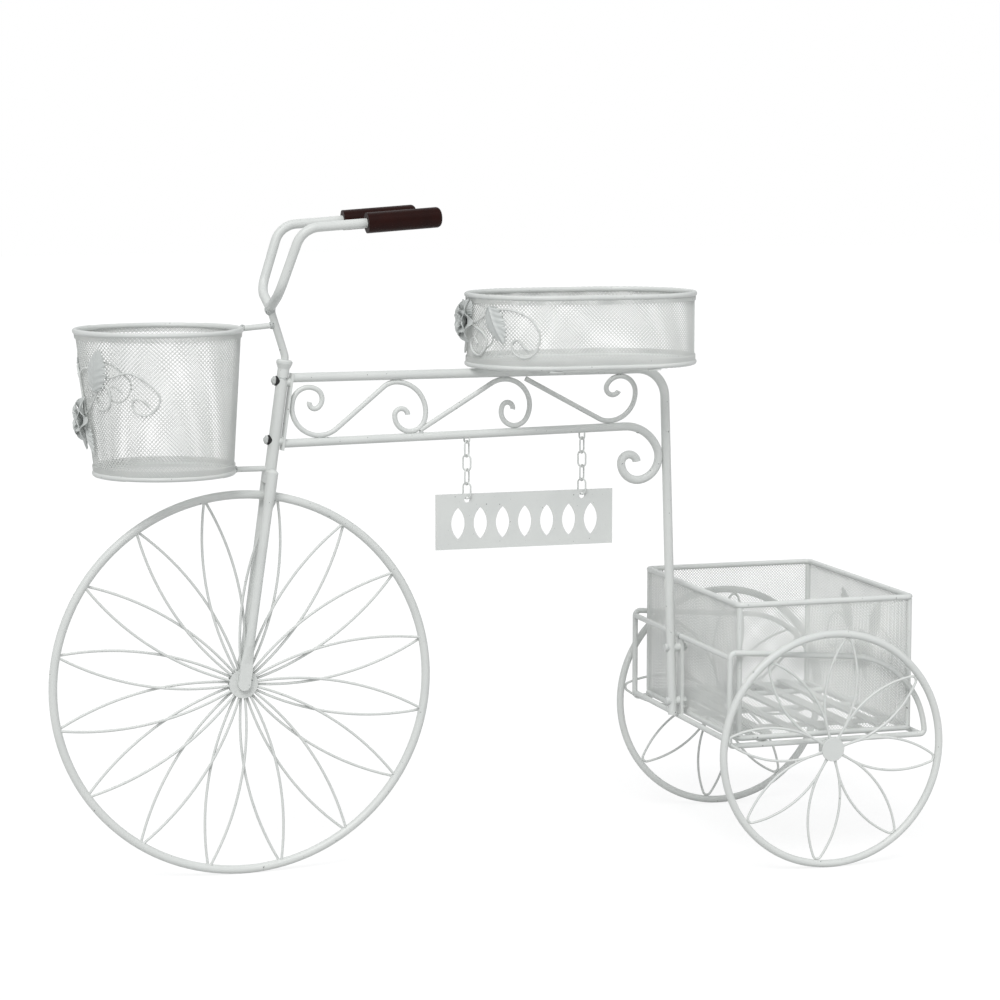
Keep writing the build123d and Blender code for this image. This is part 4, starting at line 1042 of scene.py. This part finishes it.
@dataclass
class Spray:
    """A pressed-metal rose with its wire vines and leaves, laid on a basket."""

    shell: Shell
    rose_z: float
    vines: Sequence[Vine]
    leaves: Sequence[Leaf]
    leaf_form: LeafForm = LeafForm()
    rose_form: RoseForm = RoseForm()
    wire: float = 1.15
    wire_step: float = 6.0
    wire_sides: int = 3
    thinning: float = 0.25
    thin_start: float = 0.7
    stand_off: float = 0.9
    rose_off: float = 0.6

    def normal(self, u: float, z: float) -> Vector:
        """Direction out of the wall."""
        return (self.shell.wrap(u, z, PROBE) - self.shell.wrap(u, z, 0)).normalized()

    def vine(self, route: Vine, mirror: int) -> Piece:
        """One wire, bent on the wall.

        Args:
            route: Places round and above the rose.
            mirror: 1 for the near side of the rose, -1 for the other.

        Returns:
            The wire.
        """
        marks = smooth_places(route, self.wire_step)
        thin_from = len(marks) * self.thin_start
        bpy.ops.curve.primitive_bezier_curve_add()
        wire = bpy.context.active_object
        spline = wire.data.splines[0]
        spline.bezier_points.add(len(marks) - 2)
        for i, (point, (u, v)) in enumerate(zip(spline.bezier_points, marks)):
            point.co = self.shell.wrap(mirror * u, self.rose_z + v, self.stand_off + self.wire)
            point.handle_left_type = point.handle_right_type = "AUTO"
            point.radius = 1.0 - self.thinning * max(0.0, (i - thin_from) / (len(marks) - thin_from))
        wire.data.bevel_depth = self.wire * MM
        wire.data.bevel_resolution = self.wire_sides
        wire.data.resolution_u = self.wire_sides
        wire.data.use_fill_caps = True
        pick(wire)
        bpy.ops.object.convert(target="MESH")
        return bpy.context.active_object

    def leaf(self, base: Place, tip: Place, width: float, mirror: int) -> Piece:
        """One pressed leaf with a midrib, side veins and a saw-toothed edge.

        Args:
            base: Where its stalk meets the vine.
            tip: Its point.
            width: Its greatest width.
            mirror: 1 for the near side of the rose, -1 for the other.

        Returns:
            The leaf.
        """
        form = self.leaf_form
        bpy.ops.mesh.primitive_grid_add(x_subdivisions=form.columns, y_subdivisions=form.rows, size=2)
        leaf = bpy.context.active_object
        length = math.dist(base, tip)
        along = ((tip[0] - base[0]) / length, (tip[1] - base[1]) / length)

        def lay(p: Vector) -> Vector:
            """Shape a grid point as part of the leaf and lay it on the wall."""
            share = (p.y + 1) / 2
            across = p.x * form.half(width, share, p.x)
            out = self.stand_off + 2 * self.wire + form.rise(share, p.x, across)
            u = base[0] + along[0] * share * length - along[1] * across
            v = base[1] + along[1] * share * length + along[0] * across
            return self.shell.wrap(mirror * u, self.rose_z + v, max(self.stand_off, out))
        reshape(leaf, lay)
        face_out(leaf)
        finish_with(leaf, "SOLIDIFY", thickness=form.sheet * MM, offset=0)
        soften(leaf, Crease.LEAF)
        return leaf

    def rose(self, name: str) -> Piece:
        """The rose, with the boss that joins it to the mesh.

        Args:
            name: The piece's name.

        Returns:
            The rose.
        """
        form = self.rose_form
        rose = gather([*form.petals(), form.bud(), form.boss.make()], name)
        rose.data.transform(self.seat())
        face_out(rose)
        soften(rose, Crease.ROSE)
        return rose

    def all_vines(self, name: str) -> Piece:
        """All the wires of this rose as one piece."""
        return gather([self.vine(route, mirror) for mirror in (1, -1) for route in self.vines], name)

    def all_leaves(self, name: str) -> Piece:
        """All the leaves of this rose as one piece."""
        return gather([self.leaf(*leaf, mirror) for mirror in (1, -1) for leaf in self.leaves], name)

    def gap_shadow_disc(self, name: str) -> Piece:
        """A near-black disc under the petals: painted shadow, seen in the gaps between them.

        Args:
            name: The piece's name.

        Returns:
            The disc.
        """
        gap_shadow_disc = self.rose_form.gap_shadow_disc.make()
        gap_shadow_disc.name = name
        gap_shadow_disc.data.transform(self.seat())
        soften(gap_shadow_disc, Crease.ROD)
        return gap_shadow_disc

    def seat(self) -> Matrix:
        """The rose's place: Z out of the wall, Y up it."""
        normal = self.normal(0, self.rose_z)
        across = Vector((0, 0, 1)).cross(normal).normalized()
        turn = Matrix((across, normal.cross(across), normal)).transposed().to_4x4()
        return Matrix.Translation(self.shell.wrap(0, self.rose_z, self.rose_off)) @ turn


class Stand:
    """Keeps the finishes and books every piece in."""

    def __init__(self, frame: dict, finishes: Finishes) -> None:
        """Remember the frame and the finishes.

        Args:
            finishes: The stand's finishes.
        """
        self.frame = frame
        self.finishes = finishes

    def book(self, piece: Piece, part: Part, slot: Slot, *nodes: str,
             finish: bpy.types.Material | None = None) -> None:
        """Dress a piece, let it ride on its body, and hide the nodes it stands for.

        Args:
            piece: The piece.
            part: The body that it rides on.
            slot: Its material slot.
            nodes: The solids that it stands for.
            finish: A finish of its own, where the slot's isn't the right one.
        """
        self.finishes.dress(piece, slot)
        if finish:
            piece.data.materials[0] = finish
        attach(piece, part.value)
        if nodes:
            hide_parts(*nodes)
        log.info("%s: %d faces, on %s", piece.name, len(piece.data.polygons), part.value)

    def decorate(self, spray: Spray, part: Part, place: str) -> None:
        """Add a rose with its disc of painted shadow, vines and leaves.

        Args:
            spray: The rose and its greenery.
            part: The body that they ride on.
            place: The basket's name.
        """
        pressed, shadow_fill = self.finishes.pressed, self.finishes.shadow_fill
        # The rose and its leaves wear the darkened coat: painted shade.
        self.book(spray.rose(f"{place}_rose_petals"), part, Slot.COAT, f"{place}_basket_rose", finish=pressed)
        # The near-black disc is painted shadow, seen in the gaps between the petals.
        self.book(spray.gap_shadow_disc(f"{place}_rose_rivet"), part, Slot.COAT, finish=shadow_fill)
        self.book(spray.all_vines(f"{place}_wire_vines"), part, Slot.COAT, f"{place}_basket_vines")
        self.book(spray.all_leaves(f"{place}_pressed_leaves"), part, Slot.COAT, finish=pressed)

    def dress_solids(self) -> None:
        """Give every solid that stays its finish."""
        for entry in self.frame["record"]["subparts"]:
            node = self.frame["nodes"][entry["node"]]
            self.finishes.dress(node, Slot(entry["material_slot"]))


@dataclass
class RolledBasket:
    """A basket with one mesh wall all round, rolled over a rod at its rim and at its base."""

    stand: Stand
    name: str
    shell: Ring
    mesh: DiamondMesh
    floor_reach: float
    foot_top: float
    vines: Sequence[Vine]
    leaves: Sequence[Leaf]
    lap: Place | None = None
    floor_mesh: DiamondMesh = field(default_factory=lambda: DiamondMesh(pitch=6.0, strand=0.5, thick=0.35))
    hem: Hem = field(default_factory=Hem)
    fold_gap: float = 1.5
    top_drop: float = 7.0

    def add(self, piece: Piece, slot: Slot, *nodes: str) -> None:
        """Book a piece that rides on the stand."""
        self.stand.book(piece, Part.STAND, slot, *nodes)

    def build(self) -> None:
        """Make the mesh, hems, rose, vines and leaves."""
        name, shell, mesh, hem = self.name, self.shell, self.mesh, self.hem
        low, high = shell.base_z, shell.rim_z
        self.add(mesh.closed_wall(shell, low, high, f"{name}_mesh_wall"), Slot.MESH, f"{name}_basket_wall")
        if self.lap:
            self.add(mesh.overlap(shell, low, high, self.lap, f"{name}_mesh_lap"), Slot.MESH)
        self.add(hem.ring(shell, high, f"{name}_rolled_rim"), Slot.COAT, f"{name}_basket_rim")
        self.add(hem.ring(shell, low, f"{name}_rolled_base"), Slot.COAT, f"{name}_basket_floor")
        self.add(self.floor_mesh.floor(shell, self.floor_reach, f"{name}_mesh_floor"), Slot.MESH)
        foot = hem.fold(shell, low + self.fold_gap, low + self.foot_top, f"{name}_folded_foot")
        self.add(foot, Slot.MESH)
        top = hem.fold(shell, high - self.top_drop, high - self.fold_gap, f"{name}_folded_top")
        self.add(top, Slot.MESH)
        self.stand.decorate(Spray(shell, shell.rose_z, self.vines, self.leaves), Part.STAND, name)


@dataclass
class FrontBasket(RolledBasket):
    """Round basket in front of the handlebar."""

    name: str = "front"
    shell: Ring = field(default_factory=RoundShell)
    mesh: DiamondMesh = field(default_factory=lambda: DiamondMesh(pitch=4.3, strand=0.6))
    floor_reach: float = 80.0
    foot_top: float = 8.5
    lap: Place | None = (196.0, 240.0)
    vines: Sequence[Vine] = (
        ((3, 4), (0, 26), (4, 46), (23, 54), (40, 48), (56, 46), (76, 51), (92, 43), (105, 28), (101, 15),
         (90, 8), (80, 13), (78, 21), (82, 25), (89, 23), (95, 17)),
        ((5, 3), (20, 13), (31, 23), (44, 38), (52, 35), (54, 24), (50, 15), (41, 12), (34, 17), (34, 23),
         (38, 26), (44, 21)),
    )
    leaves: Sequence[Leaf] = (
        ((35, 31), (48, 74), 25.0),
        ((9, -2), (19, -34), 15.0),
    )


@dataclass
class SeatBasket(RolledBasket):
    """Oval basket on the top tube, where a saddle would be."""

    name: str = "seat"
    shell: Ring = field(default_factory=OvalShell)
    mesh: DiamondMesh = field(default_factory=lambda: DiamondMesh(pitch=4.1, strand=0.58))
    floor_reach: float = 130.0
    foot_top: float = 8.0
    vines: Sequence[Vine] = (
        ((5, 2), (17, -1), (37, 8), (53, 14), (73, 13), (89, 5), (99, -11), (95, -29), (84, -36), (72, -31),
         (70, -21), (77, -17), (82, -24), (88, -28)),
        ((8, -3), (26, -8), (36, -15), (37, -25), (26, -35), (12, -31), (8, -22), (16, -17), (23, -23)),
    )
    leaves: Sequence[Leaf] = (((43, 17), (61, -21), 23.0), ((6, 4), (14, 22), 12.0))


@dataclass
class RearBasket:
    """Square basket that stands in the cart."""

    stand: Stand
    mesh: DiamondMesh = field(default_factory=lambda: DiamondMesh(pitch=3.4, strand=0.56))
    front_x: float = 505.3
    length: float = 199.8
    width: float = 278.0
    base_z: float = 141.8
    height: float = 143.0
    corner_gap: float = 4.0
    rose_rise: float = 62.0
    vines: Sequence[Vine] = (
        ((8, 6), (28, 23), (52, 33), (74, 28), (88, 10), (80, -8), (64, -6), (62, 5), (70, 8)),
    )
    leaves: Sequence[Leaf] = (((28, 20), (52, 64), 25.0), ((3, -4), (15, -32), 15.0))

    def build(self) -> None:
        """Make the four mesh sides, the rose, vines and leaves."""
        stand = self.stand
        middle = self.front_x + self.length / 2
        half = self.width / 2
        faces = {
            "near": (FlatShell((middle, -half), (1, 0), (0, -1)), self.length),
            "far": (FlatShell((middle, half), (-1, 0), (0, 1)), self.length),
            "cab": (FlatShell((self.front_x, 0), (0, -1), (-1, 0)), self.width),
            "tail": (FlatShell((self.front_x + self.length, 0), (0, -1), (1, 0)), self.width),
        }
        panels = []
        for name, (shell, wide) in faces.items():
            panel = self.mesh.panel(wide - self.corner_gap, self.base_z, self.base_z + self.height,
                                    f"rear_mesh_{name}")
            reshape(panel, lambda p, face=shell: face.wrap(p.x, p.z, p.y))
            panels.append(panel)
        walls = gather(panels, "rear_mesh_walls")
        face_out(walls)
        stand.book(walls, Part.REAR_BASKET, Slot.MESH, "rear_basket_walls")
        spray = Spray(faces["tail"][0], self.base_z + self.rose_rise, self.vines, self.leaves)
        stand.decorate(spray, Part.REAR_BASKET, "rear")


@dataclass
class Welds:
    """Beads of weld where rods meet, in places of the frame: (x, y, z, radius)."""

    stand: Stand
    beads: Sequence[Bead] = (
        (45.8, 0, 526.5, 6.2), (36.0, 0, 457.6, 5.6), (441.5, 0, 459.5, 3.4),
        (3.5, 0, 579.5, 3.8), (35.4, 0, 582.0, 4.2), (-6.0, 0, 432.0, 3.8),
        (33.2, 0, 598.0, 5.9), (493.0, 0, 230.0, 3.6), (493.0, 0, 141.5, 3.6),
    )
    scrolls: Sequence[str] = ("scroll_front", "scroll_middle", "scroll_rear")
    scroll_bead: float = 2.4
    fineness: int = 3
    lumps: float = 0.12
    lump_grain: float = 1.7

    def bead(self, x: float, y: float, z: float, radius: float) -> Piece:
        """One lumpy bead of weld metal.

        Args:
            x: Place along the stand.
            y: Place across it.
            z: Height.
            radius: Its size.

        Returns:
            The bead.
        """
        bpy.ops.mesh.primitive_ico_sphere_add(subdivisions=self.fineness, radius=radius * MM)
        bead = bpy.context.active_object
        middle = Vector((x - MIDDLE_X, y, z)) * MM

        def lump(p: Vector) -> Vector:
            """Roughen the bead."""
            grain = (p + middle) / (radius * MM) * self.lump_grain
            return middle + p * (1 + self.lumps * noise.noise(grain))
        reshape(bead, lump)
        soften(bead, Crease.BEAD)
        return bead

    def scroll_beads(self) -> list[Bead]:
        """Beads where each scroll touches the tube above it and the tube below it.

        Returns:
            The beads' places and sizes.
        """
        beads = []
        for name in self.scrolls:
            spots = [vertex.co for vertex in self.stand.frame["nodes"][name].data.vertices]
            for spot in (min(spots, key=lambda p: p.z), max(spots, key=lambda p: p.z)):
                beads.append((spot.x / MM + MIDDLE_X, 0, spot.z / MM, self.scroll_bead))
        return beads

    def build(self) -> None:
        """Make all the beads as one piece."""
        beads = [self.bead(*bead) for bead in (*self.beads, *self.scroll_beads())]
        self.stand.book(gather(beads, "weld_beads"), Part.STAND, Slot.COAT, finish=self.stand.finishes.welded)


@dataclass(frozen=True)
class Lamp:
    """A big soft lamp, far off: the way it shines from, its width in degrees, and its power."""

    place: Spot
    spread: float
    power: float

    def hang(self) -> None:
        """Hang the lamp, pointed at the stand."""
        bpy.ops.object.light_add(type="SUN", location=self.place)
        lamp = bpy.context.active_object
        lamp.data.angle = math.radians(self.spread)
        lamp.data.energy = self.power
        lamp.rotation_euler = (-Vector(self.place)).to_track_quat("-Z", "Y").to_euler()


@dataclass
class Studio:
    """Camera, lamps, white floor and white surroundings."""

    place: Spot = (-934.069, -3040.888, 789.434)
    yaw: float = 0.304
    pitch: float = 0.125
    lens: float = 107.594
    sensor: float = 36.0
    far_m: float = 50.0
    floor_m: float = 30.0
    floor_grey: float = 0.6
    floor_roughness: float = 0.9
    paper_grey: float = 0.24
    paper_glow: float = 0.80
    sky: Spot = (0.97, 0.985, 1.0)
    sky_power: float = 0.52
    lamps: Sequence[Lamp] = (
        Lamp((-0.9, -1.5, 1.9), 35.0, 1.95),
        Lamp((1.6, -1.2, 1.0), 50.0, 0.35),
        Lamp((0.2, 1.8, 1.5), 50.0, 0.30),
    )

    def camera(self) -> None:
        """Stand the camera where the photograph was taken from."""
        bpy.ops.object.camera_add(location=Vector(self.place) * MM,
                                  rotation=(math.pi / 2 - self.pitch, 0, -self.yaw))
        camera = bpy.context.active_object
        camera.data.sensor_width = self.sensor
        camera.data.sensor_fit = "HORIZONTAL"
        camera.data.lens = self.lens
        camera.data.clip_end = self.far_m
        bpy.context.scene.camera = camera

    def seen(self, tree: bpy.types.NodeTree, other_ray: str) -> bpy.types.NodeSocket:
        """Whether a ray comes from the camera or is of one other kind.

        Args:
            tree: The node tree to add to.
            other_ray: The light path's output for the other kind.

        Returns:
            The socket that says so.
        """
        path = add_node(tree, "ShaderNodeLightPath").outputs
        either = add_node(tree, "ShaderNodeMath", {"operation": "MAXIMUM"},
                          {0: path["Is Camera Ray"], 1: path[other_ray]})
        return either.outputs["Value"]

    def floor(self) -> None:
        """Lay the white floor, which still takes a faint shadow."""
        bpy.ops.mesh.primitive_plane_add(size=self.floor_m)
        floor = bpy.context.active_object
        floor.name = "studio_floor"
        material, tree, shader = bare_material("studio_white")
        shader.inputs["Base Color"].default_value = (*[self.floor_grey] * 3, 1)
        shader.inputs["Roughness"].default_value = self.floor_roughness
        pale = add_node(tree, "ShaderNodeBsdfDiffuse", {"Color": (*[self.paper_grey] * 3, 1)})
        glow = add_node(tree, "ShaderNodeEmission",
                        {"Color": linear(Tint.PAPER), "Strength": self.paper_glow})
        paper = add_node(tree, "ShaderNodeAddShader", None,
                         {0: pale.outputs["BSDF"], 1: glow.outputs["Emission"]})
        blend = add_node(tree, "ShaderNodeMixShader", None, {
            0: self.seen(tree, "Is Glossy Ray"), 1: shader.outputs["BSDF"], 2: paper.outputs["Shader"]})
        out = next(n for n in tree.nodes if n.bl_idname == "ShaderNodeOutputMaterial")
        tree.links.new(blend.outputs["Shader"], out.inputs["Surface"])
        floor.data.materials.append(material)

    def surroundings(self) -> None:
        """White to the eye, plainer to the lamps' bounce."""
        world = bpy.data.worlds.new("studio_surroundings")
        bpy.context.scene.world = world
        world.use_nodes = True
        tree = world.node_tree
        tree.nodes.clear()
        soft = add_node(tree, "ShaderNodeBackground", {"Color": (*self.sky, 1), "Strength": self.sky_power})
        white = add_node(tree, "ShaderNodeBackground", {"Color": linear(Tint.PAPER), "Strength": 1.0})
        blend = add_node(tree, "ShaderNodeMixShader", None, {
            0: self.seen(tree, "Is Transmission Ray"), 1: soft.outputs["Background"],
            2: white.outputs["Background"]})
        add_node(tree, "ShaderNodeOutputWorld", links={"Surface": blend.outputs["Shader"]})

    def build(self) -> None:
        """Set up floor, surroundings and lamps."""
        self.floor()
        self.surroundings()
        for lamp in self.lamps:
            lamp.hang()
        bpy.context.scene.view_settings.view_transform = "Standard"


def main() -> None:
    """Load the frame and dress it."""
    logging.basicConfig(level=logging.INFO, format="%(message)s")
    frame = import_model()
    studio = Studio()
    studio.camera()
    stand = Stand(frame, Finishes())
    stand.dress_solids()
    FrontBasket(stand).build()
    SeatBasket(stand).build()
    RearBasket(stand).build()
    Welds(stand).build()
    studio.build()


if __name__ == "__main__":
    main()
